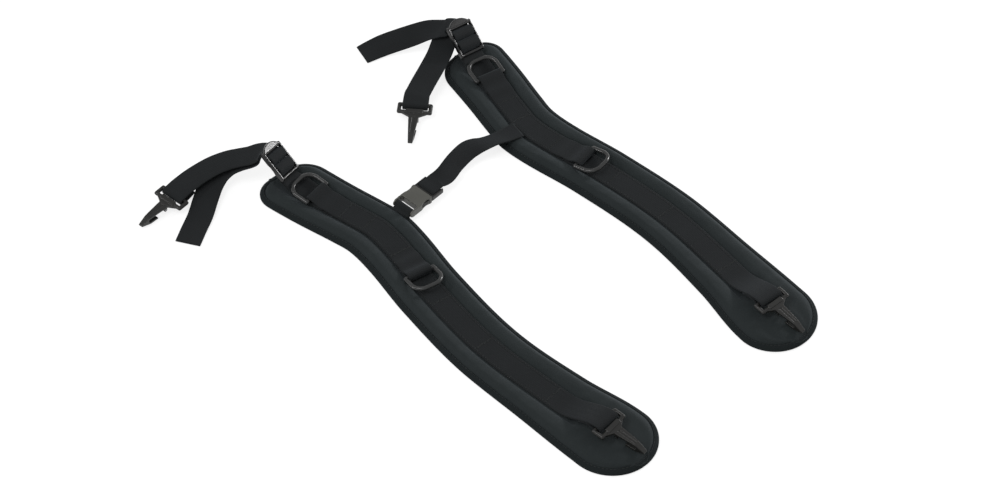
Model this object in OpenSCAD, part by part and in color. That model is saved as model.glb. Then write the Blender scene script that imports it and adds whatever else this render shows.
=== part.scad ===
// Pair of padded shoulder straps with snap hooks, D-rings, ladder locks and a buckled sternum strap.
// Each pad is drawn on a half frame: x outward from the mirror plane, y along the pad from its lower end.

/* [Pad] */
// Length of a pad
pad_length = 491; // [440:1:560]
// Width of a pad along its middle
pad_w = 68; // [62:0.5:80]
// Width of the round lower end
end_w = 82; // [76:0.5:100]
// Corner radius of the upper end
top_r = 24; // [16:0.5:28]
// Distance from the mirror plane to the centre line at the bend
pad_offset = 98.5; // [90:0.5:130]
// How far the centre line bows outward from the bend
pad_sway = 20; // [0:0.5:30]
// How far the right pad lies ahead of the left one
stagger = 4; // [0:0.5:8]
// Thickness of the padded lobes
crown_t = 9.5; // [8:0.1:14]
// Thickness under the sewn webbing
channel_t = 5.6; // [5:0.1:7]
// Thickness of the bound edge
edge_t = 4.2; // [3.6:0.1:5]
// Thickness of the face fabric
face_t = 1; // [0.6:0.1:1.4]
// Thickness of the back fabric
back_t = 0.9; // [0.6:0.1:1.2]
// Width of the binding tape on each face
binding_w = 4.2; // [3.6:0.1:6]
// Thickness of the binding tape
binding_t = 0.8; // [0.5:0.1:1.2]

/* [Webbing] */
// Width of the load webbing
web_w = 25; // [20:0.5:28]
// Thickness of the webbing
web_t = 1.4; // [1:0.1:1.6]
// Width of the sternum webbing
chest_w = 20; // [15:0.5:22]

/* [Rings] */
// Distance of the upper ring's bar from the pad's upper end
upper_ring_in = 49; // [46:0.5:54]
// Distance between the bars of the two rings
ring_spacing = 142; // [120:0.5:160]
// Radius of the ring's wire
ring_r = 2.2; // [1.5:0.1:2.4]
// Radius of the bow's round corners
bow_r = 11; // [8:0.5:13]
// Length of the ring from its bar to its bow
ring_len = 22.5; // [20:0.5:24]
// Tilt of the upper ring from the pad
upper_ring_tilt = 9; // [8:1:30]
// Tilt of the lower ring from the pad
lower_ring_tilt = 10; // [4:1:30]

/* [Snap hooks] */
// Distance of the lower hook's bar from the centre of the round end
hook_back = 9.5; // [8:0.5:13]
// Height of the lower hook's bar
hook_bar_z = 19.5; // [19:0.1:24]
// Rise of a lower hook from its bar
lower_hook_pitch = -6.5; // [-7:0.5:4]
// Rise of an upper hook from its bar
upper_hook_pitch = -1; // [-1:0.5:4]
// Turn of the left lower hook in its fold
left_hook_yaw = 4; // [0:0.5:5]
// Turn of the right lower hook in its fold
right_hook_yaw = 5; // [0:0.5:5]
// Height of an upper hook's bar
upper_bar_z = 8.5; // [8.2:0.1:12]
// Radius of the hook's loop
hook_bar_r = 2; // [1.5:0.1:2.2]
// Length of the hook's loop between bar centres
hook_loop = 9.5; // [9:0.5:12]
// Thickness of the hook's shank and point
hook_t = 2.2; // [2:0.1:2.6]
// Width of the hook's shank at its root
hook_w = 10; // [9:0.1:11]
// Width of the hook's nose
nose_w = 4.4; // [4:0.1:5]
// Width of the hook's cross boss
boss_w = 17; // [15:0.5:20]
// Inner radius of the hook's bend
throat_r = 2; // [1.9:0.1:2.4]
// Distance from the bar to the centre of the bend
bend_y = 36.5; // [35:0.5:40]
// Distance from the centre of the bend to the tip of the nose
nose_len = 10; // [8:0.5:12]
// Distance from the bar to the gate's pivot
pivot_y = 17.5; // [17:0.5:19]
// Radius of the gate's pin
gate_pin_r = 0.7; // [0.6:0.1:0.8]
// Thickness of the gate
gate_t = 1.1; // [0.9:0.1:1.2]
// Width of the gate
gate_w = 2.2; // [2:0.1:2.4]
// Thickness of the gate's leaf spring
leaf_t = 0.3; // [0.2:0.05:0.4]

/* [Ladder locks] */
// Distance of the lock's anchor bar from the pad's upper end
lock_in = 9.5; // [8:0.5:14]
// Height of the anchor bar
lock_bar_z = 22; // [21.5:0.1:25]
// Tilt of the lock
lock_tilt = 37; // [34:1:42]
// Roll of the left lock, its outer rail going up
left_lock_roll = 20; // [8:1:21]
// Roll of the right lock, its inner rail going up
right_lock_roll = 12; // [0:1:14]
// Distance from the frame's lower bar to the anchor bar
foot_step = 8.6; // [8.4:0.1:11]
// Distance from the anchor bar to the grip bar
bar_step = 12.4; // [12.2:0.1:15]
// Distance from the grip bar to the frame's upper bar
head_step = 8; // [7.8:0.1:10]
// Length of the thumb tab
tab_len = 7; // [5:0.5:8]
// Radius of the lock's bars
bar_r = 1.8; // [1.5:0.1:1.9]
// Thickness of the lock's rails
rail_t = 4.6; // [4.2:0.1:6]
// Width of the lock's rails
rail_w = 1.9; // [1.6:0.1:3]

/* [Buckle] */
// Distance of the sternum strap from the pad's upper end
chest_in = 110; // [104:0.5:116]
// Angle of the buckle from square across
buckle_turn = 5; // [0:0.5:8]
// Width of the buckle
buckle_w = 24; // [23.6:0.2:28]
// Thickness of the socket
socket_t = 8.4; // [7.6:0.1:10]
// Length of the socket from its bar to its mouth
socket_len = 25; // [24.5:0.5:30]
// Length of the plug's frame
plug_len = 15.6; // [15:0.2:20]
// Wall of the socket
socket_wall = 1.6; // [1.2:0.1:2]
// Radius of the buckle's webbing bars
buckle_bar_r = 1.6; // [1.4:0.1:2]

/* [Fits] */
// Gap between sewn layers
layer_gap = 0.05; // [0.02:0.01:0.1]
// Gap between webbing and a bar inside it
web_gap = 0.3; // [0.2:0.05:0.5]
// Gap between webbing edges and the frame beside them
side_gap = 0.3; // [0.25:0.05:0.6]
// Running clearance of a pin in its bore
pin_gap = 0.05; // [0.02:0.01:0.09]
// Gap between moving pieces
free_gap = 0.4; // [0.3:0.05:0.6]

/* [Hidden] */
$fn = 48;

left = -1;
right = 1;
up = [0, 0, 1];

// Shift that puts the middle of the laid-out pair over the origin
layout_x = 56.7;
layout_y = 285.2;

fabric = [0.15, 0.17, 0.17];
lining = [0.12, 0.13, 0.13];
tape = [0.06, 0.06, 0.06];
webbing = [0.13, 0.14, 0.15];
moulding = [0.22, 0.22, 0.21];
steel = [0.6, 0.6, 0.62];

function ahead_by(side) = side == right ? stagger : 0;

// Curves and vectors
function mix(a, b, t) = a + (b - a) * t;
function ease(t) = let (c = min(1, max(0, t))) c * c * (3 - 2 * c);
function unit(v) = v / norm(v);
function flip(v, side) = [side * v.x, v.y + ahead_by(side), v.z];

function knot_slope(k, i) =
  let (a = max(0, i - 1), b = min(len(k) - 1, i + 1))
  (k[b][1] - k[a][1]) / (k[b][0] - k[a][0]);
function knot_before(k, x, i = 0) =
  i >= len(k) - 2 || x < k[i + 1][0] ? i : knot_before(k, x, i + 1);
// Value at x on the smooth curve through knots of [x, value]
function on_curve(k, x) =
  let (
    i = knot_before(k, x),
    w = k[i + 1][0] - k[i][0],
    t = (x - k[i][0]) / w,
    rise = 3 * t * t - 2 * t * t * t
  )
  mix(k[i][1], k[i + 1][1], rise)
  + w * knot_slope(k, i) * t * (1 - t) * (1 - t)
  - w * knot_slope(k, i + 1) * t * t * (1 - t);

// Smooth path through points, with a number of steps between each two
function path_slope(p, i) = (p[min(len(p) - 1, i + 1)] - p[max(0, i - 1)]) / 2;
function path_between(p, i, t) =
  mix(p[i], p[i + 1], 3 * t * t - 2 * t * t * t)
  + path_slope(p, i) * t * (1 - t) * (1 - t)
  - path_slope(p, i + 1) * t * t * (1 - t);
function smooth_path(p, steps) =
  [for (i = [0 : len(p) - 2], k = [0 : steps - 1]) path_between(p, i, k / steps), p[len(p) - 1]];

// End faces of a ring: between its lower and upper rows, or spread from its first point
function strip_cap(n) =
  [for (j = [0 : n / 2 - 2]) each [[j, j + 1, n - 2 - j], [j, n - 2 - j, n - 1 - j]]];
function fan_cap(n) = [for (j = [1 : n - 2]) [0, j, j + 1]];

// Solids swept through rings of points; crossed turns the split of each side face the other way
module sweep(rings, closed = false, crossed = false) {
  count = len(rings);
  n = len(rings[0]);
  spans = closed ? count : count - 1;
  sides = [
    for (i = [0 : spans - 1], j = [0 : n - 1])
      let (a = i * n, b = ((i + 1) % count) * n, k = (j + 1) % n)
      each crossed
        ? [[a + j, a + k, b + j], [a + k, b + k, b + j]]
        : [[a + j, a + k, b + k], [a + j, b + k, b + j]]
  ];
  last = (count - 1) * n;
  cap = n % 2 == 0 ? strip_cap(n) : fan_cap(n);
  caps = closed ? [] : [for (c = cap) each [[c.z, c.y, c.x], [last + c.x, last + c.y, last + c.z]]];
  polyhedron(points = [for (r = rings) each r], faces = concat(sides, caps));
}

function tangent(p, i) = unit(p[min(len(p) - 1, i + 1)] - p[max(0, i - 1)]);
// Corners of flat webbing at each point, with the direction across it given
function band(points, across, w, t) = [
  for (i = [0 : len(points) - 1])
    let (a = across[i] * w / 2, n = unit(cross(across[i], tangent(points, i))) * t / 2)
    [points[i] - a - n, points[i] + a - n, points[i] + a + n, points[i] - a + n]
];
// Level direction across a path, to the right of its travel
function level_across(p) =
  [for (i = [0 : len(p) - 1]) let (d = tangent(p, i)) unit([d.y, -d.x, 0])];

// Outline of a pad: centre line and half width, as shares of its length
bow_knots = [
  [0, 0.28], [0.1, 0.38], [0.22, 0.72], [0.395, 1], [0.57, 0.62], [0.69, 0.12],
  [0.755, 0], [0.8, 0.2], [0.88, 0.65], [0.955, 1], [1, 1.15]
];
swell_knots = [[0, 1], [0.11, 1], [0.22, 0.36], [0.365, 0], [0.76, 0], [0.93, 0.15], [1, 0.15]];
end_r = end_w / 2;
function centre(s) = pad_offset + pad_sway * on_curve(bow_knots, s / pad_length);
function lean(s) = atan2(centre(s + 1) - centre(s - 1), 2);
function full_half(s) = mix(pad_w, end_w, on_curve(swell_knots, s / pad_length)) / 2;
function half(s) =
  let (d = max(0, pad_length - s), low = max(0, end_r - s), high = max(0, top_r - d))
  full_half(s) * sqrt(1 - pow(low / end_r, 2)) - top_r + sqrt(top_r * top_r - high * high);
stations = [
  for (a = [10 : 15 : 85]) end_r * (1 - cos(a)),
  for (k = [0 : 22]) mix(end_r, pad_length - top_r, k / 22),
  for (a = [70 : -20 : 10]) pad_length - top_r * (1 - cos(a)),
  pad_length
];

// Padded section: flat flange under the binding, crowned lobes and a channel under the webbing
flange_w = binding_w + 0.6;
swell_len = 45;
channel_half = web_w / 2 + 0.9;
channel_from = 60;
channel_full = 79;
// Half width of the outline set in by w
function inset_half(s, w) =
  let (
    side_w = w / cos(lean(s)),
    low = min(end_r - w, max(0, end_r - s)),
    high = min(top_r - w, max(0, top_r - pad_length + s))
  )
  (full_half(s) - side_w) * sqrt(1 - pow(low / (end_r - w), 2))
  - (top_r - w) + sqrt(pow(top_r - w, 2) - high * high);
function flange(s, w) = half(s) - max(0.55 * half(s), inset_half(s, w));
function swelling(s) =
  let (d = min(s - stations[2], stations[len(stations) - 4] - s), c = min(1, max(0, d / swell_len)))
  sqrt(1 - pow(1 - c, 2));
function channel(s) = mix(crown_t, channel_t, ease((s - channel_from) / (channel_full - channel_from)));
function lobe_section(s) =
  let (
    h = half(s),
    inner = h - flange(s, flange_w),
    c = min(channel_half, 0.49 * inner),
    low = channel(s)
  )
  [
    [0, low], [c, low], [mix(c, inner, 0.2), mix(low, crown_t, 0.75)], [mix(c, inner, 0.5), crown_t],
    [mix(c, inner, 0.8), mix(edge_t, crown_t, 0.72)], [inner, edge_t], [h, edge_t]
  ];
function swollen(s, z) = edge_t + (z - edge_t) * swelling(s);
// Points across the top of the pad from one edge to the other, dropped by a depth
function top_points(s, depth) =
  let (half_points = lobe_section(s), n = len(half_points))
  [
    for (i = [n - 1 : -1 : 1]) [centre(s) - half_points[i][0], s, swollen(s, half_points[i][1]) - depth],
    for (p = half_points) [centre(s) + p[0], s, swollen(s, p[1]) - depth]
  ];
function reversed(list) = [for (i = [len(list) - 1 : -1 : 0]) list[i]];

// Places on a pad
function pad_point(s, z) = [centre(s), s, z];
function pad_across(s) = [cos(lean(s)), -sin(lean(s)), 0];
upper_ring_s = pad_length - upper_ring_in;
lower_ring_s = upper_ring_s - ring_spacing;
lock_s = pad_length - lock_in;
hook_s = end_r + hook_back;
chest_s = pad_length - chest_in;

// Heights of the stacked webbing
spine_z = channel_t + layer_gap + web_t / 2;
strap_z = spine_z + web_t + layer_gap;
ring_wrap_r = ring_r + web_gap + web_t / 2;
ring_z = strap_z + ring_wrap_r;

module laid_out() translate([-layout_x * left, -layout_y, 0]) children();
module on_side(side)
  laid_out() translate([0, ahead_by(side), 0]) mirror([side == left ? 1 : 0, 0, 0]) children();

module foam_core(side) {
  rings = [
    for (s = stations)
      let (top = top_points(s, face_t + layer_gap), z = back_t + layer_gap)
      concat([[top[0].x, s, z], [top[len(top) - 1].x, s, z]], reversed(top))
  ];
  color([0.3, 0.3, 0.3]) on_side(side) sweep(rings, crossed = true);
}

module face_cover(side) {
  rings = [for (s = stations) concat(top_points(s, face_t), reversed(top_points(s, 0)))];
  color(fabric) on_side(side) sweep(rings);
}

// Outline of the pad, and the directions out of it
rim = concat(
  [for (s = stations) [centre(s) + half(s), s]],
  [for (s = reversed(stations)) [centre(s) - half(s), s]]
);
rim_out = [
  for (i = [0 : len(rim) - 1])
    let (d = unit(rim[(i + 1) % len(rim)] - rim[(i + len(rim) - 1) % len(rim)])) [d.y, -d.x]
];

module back_cover(side) {
  color(lining) on_side(side) linear_extrude(back_t)
    polygon([for (i = [0 : len(rim) - 1]) rim[i] - flange_w * rim_out[i]]);
}

module edge_binding(side) {
  low = layer_gap * 2;
  high = edge_t + layer_gap;
  outer = layer_gap + binding_t;
  section = [
    [-binding_w, low], [outer, low], [outer, high + binding_t], [-binding_w, high + binding_t],
    [-binding_w, high], [layer_gap, high], [layer_gap, back_t], [-binding_w, back_t]
  ];
  rings = [
    for (i = [0 : len(rim) - 1])
      [for (p = section) [rim[i].x + rim_out[i].x * p[0], rim[i].y + rim_out[i].y * p[0], p[1]]]
  ];
  color(tape) on_side(side) sweep(rings, closed = true);
}

// Webbing sewn along the pad, with a loose loop round the hook's bar and one over the lock's anchor bar
wrap_r = hook_bar_r + web_gap + web_t / 2;
hook_slack = 2;
hook_wrap_r = wrap_r + 0.3;
loop_s = hook_s - hook_slack;
lift_from = channel_full + 18;
hook_fold = 23;
fold_gap = 1.3 * web_t;
function spine_low_z(s) =
  mix(spine_z, hook_bar_z + hook_wrap_r, ease((lift_from - s) / (lift_from - loop_s)));

// Path over the anchor bar, in the lock's own frame: along it and up from its plane
lock_wrap_r = bar_r + web_gap + web_t / 2;
loop_half = lock_wrap_r + 2.2;
loop_top = lock_wrap_r + 0.3;
under_foot = [-foot_step, -lock_wrap_r - 0.1];
anchor_line = [
  under_foot, [-loop_half - 0.9, -1.9], [-loop_half - 0.2, 0.2], [-loop_half + 2, loop_top - 0.9],
  [-1, loop_top], [2, loop_top - 0.3], [loop_half - 1, 1.6], [loop_half, -0.6], [loop_half - 1.2, -2.9],
  [2, -lock_wrap_r - 1.1], [-3, -lock_wrap_r - 1.6], [-foot_step, -lock_wrap_r - 2.2]
];
function lock_roll(side) = side == left ? left_lock_roll : right_lock_roll;
// Place on the spine: along the pad, height, shift outward and roll
function on_lock(p, roll) = [
  lock_s + p[0] * cos(lock_tilt) - p[1] * cos(roll) * sin(lock_tilt),
  lock_bar_z + p[0] * sin(lock_tilt) + p[1] * cos(roll) * cos(lock_tilt),
  p[1] * sin(roll), roll
];
rise_len = 29;
twist_from = 0.35;
lock_fold = 14;
function rising(t, roll, drop) =
  let (foot = on_lock(under_foot, roll), turn = roll * ease((t - twist_from) / (1 - twist_from)))
  [
    foot[0] - rise_len * (1 - t), mix(spine_z, foot[1], pow(max(0, t), 1.5)) - drop * cos(turn),
    foot[2] * t - drop * sin(turn), turn
  ];

function spine_line(roll) =
  let (rise_from = on_lock(under_foot, roll)[0] - rise_len)
  [
    for (t = [1, 0.74, 0.48, 0.26, 0.13]) let (s = loop_s + hook_fold * t)
      [s, spine_low_z(s) - mix(2 * hook_wrap_r, fold_gap, ease(t / 0.57)), 0, 0],
    for (a = [180 : -20 : 0]) [loop_s - hook_wrap_r * sin(a), hook_bar_z + hook_wrap_r * cos(a), 0, 0],
    for (k = [1 : 10]) let (s = mix(loop_s, lift_from, k / 10)) [s, spine_low_z(s), 0, 0],
    for (k = [1 : 18]) [mix(lift_from, rise_from, k / 18), spine_z, 0, 0],
    for (k = [1 : 6]) rising(k / 7, roll, 0),
    for (p = anchor_line) on_lock(p, roll),
    for (t = [0.35, 0.7, 1]) rising(1 - lock_fold * t / rise_len, roll, fold_gap)
  ];

// Direction across a folded band, kept level and pointing outward
function folded(line) = [for (p = line) pad_point(p[0], p[1])];
function folded_across(line) = [for (p = line) pad_across(p[0])];

module spine_webbing(side) {
  line = spine_line(side * lock_roll(side));
  rise = [-sin(lock_tilt) * sin(lean(lock_s)), -sin(lock_tilt) * cos(lean(lock_s)), cos(lock_tilt)];
  points = [for (p = line) pad_point(p[0], p[1]) + p[2] * pad_across(p[0])];
  across = [for (p = line) cos(p[3]) * pad_across(p[0]) - sin(p[3]) * rise];
  color(webbing) on_side(side) sweep(band(points, across, web_w, web_t));
}

// Strap sewn over the spine, folded round the bar of a ring at each end
tail_len = 16;
function ring_strap_end(s, way) = [
  [s + way * tail_len, strap_z], [s + way * tail_len / 2, strap_z],
  for (a = [180 : -20 : 0]) [s - way * ring_wrap_r * sin(a), ring_z + ring_wrap_r * cos(a)],
  for (t = [0.25, 0.5, 0.75])
    [s + way * tail_len * t, mix(ring_z + ring_wrap_r, strap_z + fold_gap, ease(t / 0.75))],
  [s + way * tail_len * 1.125, strap_z + fold_gap],
  for (k = [1 : 3]) [s + way * tail_len * (1.125 + k / 4), mix(strap_z + fold_gap, strap_z, ease(k / 3))]
];
strap_from = lower_ring_s + tail_len * 1.875;
strap_to = upper_ring_s - tail_len * 1.875;
strap_line = concat(
  ring_strap_end(lower_ring_s, 1),
  [for (k = [1 : 7]) [mix(strap_from, strap_to, k / 8), strap_z]],
  reversed(ring_strap_end(upper_ring_s, -1))
);

module ring_strap(side) {
  color(webbing) on_side(side) sweep(band(folded(strap_line), folded_across(strap_line), web_w, web_t));
}

// Rows of close stitching across the webbing
tack_size = [web_w - 4, 2.4, 0.6];
tack_in = 14;
tack_back = 36;
strap_tacks = [lower_ring_s + tail_len * 2.125, chest_s, upper_ring_s - tail_len * 2.125];
spine_tacks = [lift_from + tack_in, mix(lift_from, lower_ring_s, 0.5), lower_ring_s - tack_back];
module tack(s, z)
  translate(pad_point(s, z + web_t / 2 + layer_gap + tack_size.z / 2))
    rotate(-lean(s)) cube(tack_size, true);
module bartacks(side) {
  color(tape) on_side(side) {
    for (s = strap_tacks) tack(s, strap_z);
    for (s = spine_tacks) tack(s, spine_z);
  }
}

// Round bar along the local x axis
module bar(r, l) rotate([0, 90, 0]) cylinder(r = r, h = l, center = true);

// D-ring with its bar on the local x axis and its round-cornered bow towards +y
ring_half = web_w / 2 + side_gap + ring_r;
ring_leg = ring_len - bow_r;
bow_half = ring_half - bow_r;
module d_ring() {
  bar(ring_r, 2 * ring_half);
  for (side = [left, right]) {
    translate([side * ring_half, 0, 0]) {
      sphere(ring_r);
      rotate([-90, 0, 0]) cylinder(r = ring_r, h = ring_leg);
    }
    translate([side * bow_half, ring_leg, 0]) rotate(side == left ? 90 : 0)
      rotate_extrude(angle = 90) translate([bow_r, 0]) circle(ring_r);
  }
  translate([0, ring_len, 0]) bar(ring_r, 2 * bow_half);
}
module upper_ring(side) {
  color(moulding) on_side(side) translate(pad_point(upper_ring_s, ring_z))
    rotate(-lean(upper_ring_s)) rotate([upper_ring_tilt, 0, 0]) d_ring();
}
module lower_ring(side) {
  color(moulding) on_side(side) translate(pad_point(lower_ring_s, ring_z))
    rotate(180 - lean(lower_ring_s)) rotate([lower_ring_tilt, 0, 0]) d_ring();
}

// Snap hook: bar on the local x axis, slim shank towards +y, bend and point below it, pointed nose
shank_half = hook_t / 2;
bend_z = -shank_half - throat_r;
bend_r = throat_r + hook_t;
point_z = bend_z - throat_r - shank_half;
point_y = bend_y - 8;
nose_r = 1;
nose_turn = asin((bend_r - nose_r) / nose_len);
pivot_z = -shank_half - 2;
lug_r = 1.9;
hook_half = web_w / 2 + side_gap + 0.6 + hook_bar_r;
boss_t = 5;
yoke_t = 2.8;
yoke_end = hook_loop + 6;
taper_from = hook_loop + 8;
groove_w = 3;
groove_t = 0.7;
// Side profile drawn with y to the right and z up, extruded across the hook
module across_hook(w) rotate([90, 0, 90]) linear_extrude(w, center = true) children();
module hook_profile() {
  tangent_big = bend_r * [sin(nose_turn), cos(nose_turn)];
  tangent_small = [nose_len, 0] + nose_r * [sin(nose_turn), cos(nose_turn)];
  translate([hook_loop, -shank_half]) square([bend_y - hook_loop, hook_t]);
  difference() {
    translate([bend_y, bend_z]) {
      circle(bend_r);
      translate([nose_len, 0]) circle(nose_r);
      polygon([
        tangent_big, tangent_small, [tangent_small[0], -tangent_small[1]], [tangent_big[0], -tangent_big[1]]
      ]);
    }
    translate([bend_y, bend_z]) circle(throat_r);
    translate([bend_y - 2 * bend_r, bend_z - bend_r]) square([2 * bend_r, 2 * bend_r]);
  }
  translate([point_y, point_z - shank_half]) square([bend_y - point_y, hook_t]);
  translate([point_y, point_z]) circle(shank_half);
}
// Plan of the shank, narrowing from its root to the nose
module hook_plan() {
  nose_end = bend_y + nose_len + nose_r;
  linear_extrude(6 * bend_r, center = true) polygon([
    [-hook_w / 2, hook_loop], [hook_w / 2, hook_loop], [hook_w / 2, taper_from], [nose_w / 2, nose_end],
    [-nose_w / 2, nose_end], [-hook_w / 2, taper_from]
  ]);
}
module snap_hook() {
  bar(hook_bar_r, 2 * hook_half);
  translate([0, hook_loop, 0]) bar(hook_bar_r, 2 * hook_half);
  for (x = [-hook_half, hook_half]) translate([x, 0, 0]) {
    sphere(hook_bar_r);
    rotate([-90, 0, 0]) cylinder(r = hook_bar_r, h = hook_loop);
    translate([0, hook_loop, 0]) sphere(hook_bar_r);
  }
  translate([0, hook_loop, 0]) cube([boss_w, 2 * hook_bar_r + 1, boss_t], center = true);
  linear_extrude(yoke_t, center = true) polygon([
    [-hook_half, hook_loop], [hook_half, hook_loop], [hook_w / 2, yoke_end], [-hook_w / 2, yoke_end]
  ]);
  difference() {
    union() {
      intersection() {
        across_hook(hook_w) hook_profile();
        hook_plan();
      }
      across_hook(hook_w) difference() {
        translate([pivot_y - lug_r, pivot_z]) square([2 * lug_r, -pivot_z]);
        translate([pivot_y, pivot_z]) circle(gate_pin_r);
      }
      across_hook(hook_w) difference() {
        translate([pivot_y, pivot_z]) circle(lug_r);
        translate([pivot_y, pivot_z]) circle(gate_pin_r);
      }
    }
    translate([-gate_w / 2 - free_gap, pivot_y - lug_r - 1, pivot_z - lug_r - 1])
      cube([gate_w + 2 * free_gap, 2 * lug_r + 2, lug_r + 1 - pivot_z - shank_half]);
    translate([-groove_w / 2, yoke_end + 1, shank_half - groove_t])
      cube([groove_w, bend_y - yoke_end - 1, 2]);
  }
}
// Gate: knuckle on the pin, arm lying on the inside of the hook's point
gate_end = [point_y, point_z + shank_half + free_gap + gate_t / 2];
gate_angle = atan2(gate_end[1] - pivot_z, gate_end[0] - pivot_y);
gate_len = norm([gate_end[0] - pivot_y, gate_end[1] - pivot_z]);
knuckle_r = lug_r - 0.3;
module hook_gate() {
  across_hook(gate_w) difference() {
    translate([pivot_y, pivot_z]) rotate(gate_angle) {
      circle(knuckle_r);
      translate([0, -gate_t / 2]) square([gate_len, gate_t]);
      translate([gate_len, 0]) circle(gate_t / 2);
    }
    translate([pivot_y, pivot_z]) circle(gate_pin_r + pin_gap);
  }
}
module gate_pin() translate([0, pivot_y, pivot_z]) bar(gate_pin_r, hook_w);
// Leaf spring under the shank, pressing on the gate's arm
leaf_w = gate_w - 0.6;
leaf_from = pivot_y + lug_r + 0.4;
leaf_mid = leaf_from + 3;
module gate_spring() {
  down = tan(gate_angle);
  arm_top = gate_t / 2 / cos(gate_angle) + layer_gap;
  leaf_z = -shank_half - layer_gap;
  tip_y = leaf_mid + 4;
  tip_z = pivot_z + down * (tip_y - pivot_y) + arm_top;
  across_hook(leaf_w) polygon([
    [leaf_from, leaf_z], [leaf_mid, leaf_z], [tip_y + leaf_t, tip_z + leaf_t], [tip_y, tip_z],
    [leaf_mid - leaf_t, leaf_z - leaf_t], [leaf_from, leaf_z - leaf_t]
  ]);
}

// Where the four hooks lie: the upper ones by their bars, set out from the lock, and compass directions
function beside_lock(side, p) = [side * centre(lock_s) + p.x, lock_s + ahead_by(side) + p.y, p.z];
left_bar_out = [-93.5, 51.5, upper_bar_z];
right_bar_out = [-85.5, -18, upper_bar_z];
left_bar_turn = 97;
right_bar_turn = 132;
function upper_bar(side) = beside_lock(side, side == left ? left_bar_out : right_bar_out);
function upper_turn(side) = side == left ? left_bar_turn : right_bar_turn;
function yaw(side) = side == left ? left_hook_yaw : right_hook_yaw;
module lower_place(side)
  on_side(side) translate(pad_point(hook_s, hook_bar_z)) rotate(180 - lean(hook_s) + side * yaw(side))
    rotate([lower_hook_pitch, 0, 0]) children();
module upper_place(side)
  laid_out() translate(upper_bar(side)) rotate(upper_turn(side)) rotate([upper_hook_pitch, 0, 0]) children();

module lower_hook(side) color(moulding) lower_place(side) snap_hook();
module lower_gate(side) color(moulding) lower_place(side) hook_gate();
module lower_gate_pin(side) color(steel) lower_place(side) gate_pin();
module lower_gate_spring(side) color(steel) lower_place(side) gate_spring();
module upper_hook(side) color(moulding) upper_place(side) snap_hook();
module upper_gate(side) color(moulding) upper_place(side) hook_gate();
module upper_gate_pin(side) color(steel) upper_place(side) gate_pin();
module upper_gate_spring(side) color(steel) upper_place(side) gate_spring();

// Ladder lock: anchor bar on the local x axis, lower bar behind it, grip bar, upper bar and thumb tab ahead
lock_half = web_w / 2 + side_gap + 0.2;
head_y = bar_step + head_step;
tab_t = 2.2;
tab_half = lock_half + rail_w / 2;
tab_r = (tab_half * tab_half + tab_len * tab_len) / (2 * tab_len);
module thumb_tab() {
  intersection() {
    translate([0, tab_len - tab_r, 0]) cylinder(r = tab_r, h = tab_t);
    translate([-tab_half, 0, 0]) cube([2 * tab_half, 2 * tab_len, tab_t]);
  }
}
module ladder_lock_body() {
  for (y = [-foot_step, 0, bar_step, head_y]) translate([0, y, 0]) bar(bar_r, 2 * lock_half + rail_w);
  for (x = [-1, 1]) translate([x * (lock_half + rail_w / 2), 0, 0]) across_hook(rail_w) {
    translate([-foot_step, -rail_t / 2]) square([foot_step + head_y, rail_t]);
    translate([-foot_step, 0]) circle(rail_t / 2);
    translate([head_y, 0]) circle(rail_t / 2);
  }
  translate([0, head_y, 0]) thumb_tab();
}
module ladder_lock(side) {
  color(moulding) on_side(side) translate(pad_point(lock_s, lock_bar_z)) rotate(-lean(lock_s))
    rotate([lock_tilt, 0, 0]) rotate([0, side * lock_roll(side), 0]) ladder_lock_body();
}

// Adjuster webbing: one leg under the bars, over the grip bar, and back out above the first leg
upper_leg = -lock_wrap_r - 0.05;
lower_leg = upper_leg - web_t - 0.2;
grip_top = lock_wrap_r + 0.2;
lock_line = [
  [head_y + 2, lower_leg], [head_y, lower_leg], [bar_step + 2, lower_leg], [bar_step - 2.5, lower_leg + 0.1],
  [bar_step - 4.2, lower_leg + 1.2], [bar_step - 5, -0.9], [bar_step - 4, grip_top - 1.3],
  [bar_step - 1.7, grip_top], [bar_step + 1.2, grip_top], [bar_step + 3.3, grip_top - 1.3],
  [bar_step + 4.2, -0.5], [bar_step + 5.2, -2.2], [head_y, upper_leg], [head_y + 2, upper_leg]
];
function ahead(side) = [side * sin(lean(lock_s)), cos(lean(lock_s)), 0];
function lock_level(side) = [cos(lean(lock_s)), -side * sin(lean(lock_s)), 0];
function lock_up(side) = cos(lock_tilt) * up - sin(lock_tilt) * ahead(side);
function lock_point(side, p) =
  flip(pad_point(lock_s, lock_bar_z), side)
  + p[0] * (cos(lock_tilt) * ahead(side) + sin(lock_tilt) * up)
  + p[1] * (cos(lock_roll(side)) * lock_up(side) + sin(lock_roll(side)) * lock_level(side));
function lock_across(side) = cos(lock_roll(side)) * lock_level(side) - sin(lock_roll(side)) * lock_up(side);

// Routes of the free legs, set out from the lock, with heights above the table
left_hook_route = [
  [-7, 24, 30], [-16, 30, 25.5], [-25, 38.5, 21.5], [-34, 45, 19], [-48, 50.5, 16.5], [-67, 53.5, 13.5]
];
left_tail_route = [
  [-7, 23, 27.5], [-16, 29, 21.8], [-25, 36.5, 17.3], [-35, 42, 13.8], [-47, 43, 10.8], [-60, 38.5, 8],
  [-74, 29.5, 5.4], [-89.5, 18.5, 3], [-105, 9.5, 1.7], [-119.5, 0.5, 1.1]
];
right_tail_route = [
  [-1, 24.5, 30], [-5.5, 28, 27.5], [-10, 34.5, 24], [-16.5, 43.5, 19.5], [-28, 53.5, 13], [-48, 66, 6.2],
  [-60, 71, 3.5], [-74.5, 75, 1.2]
];
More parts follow.
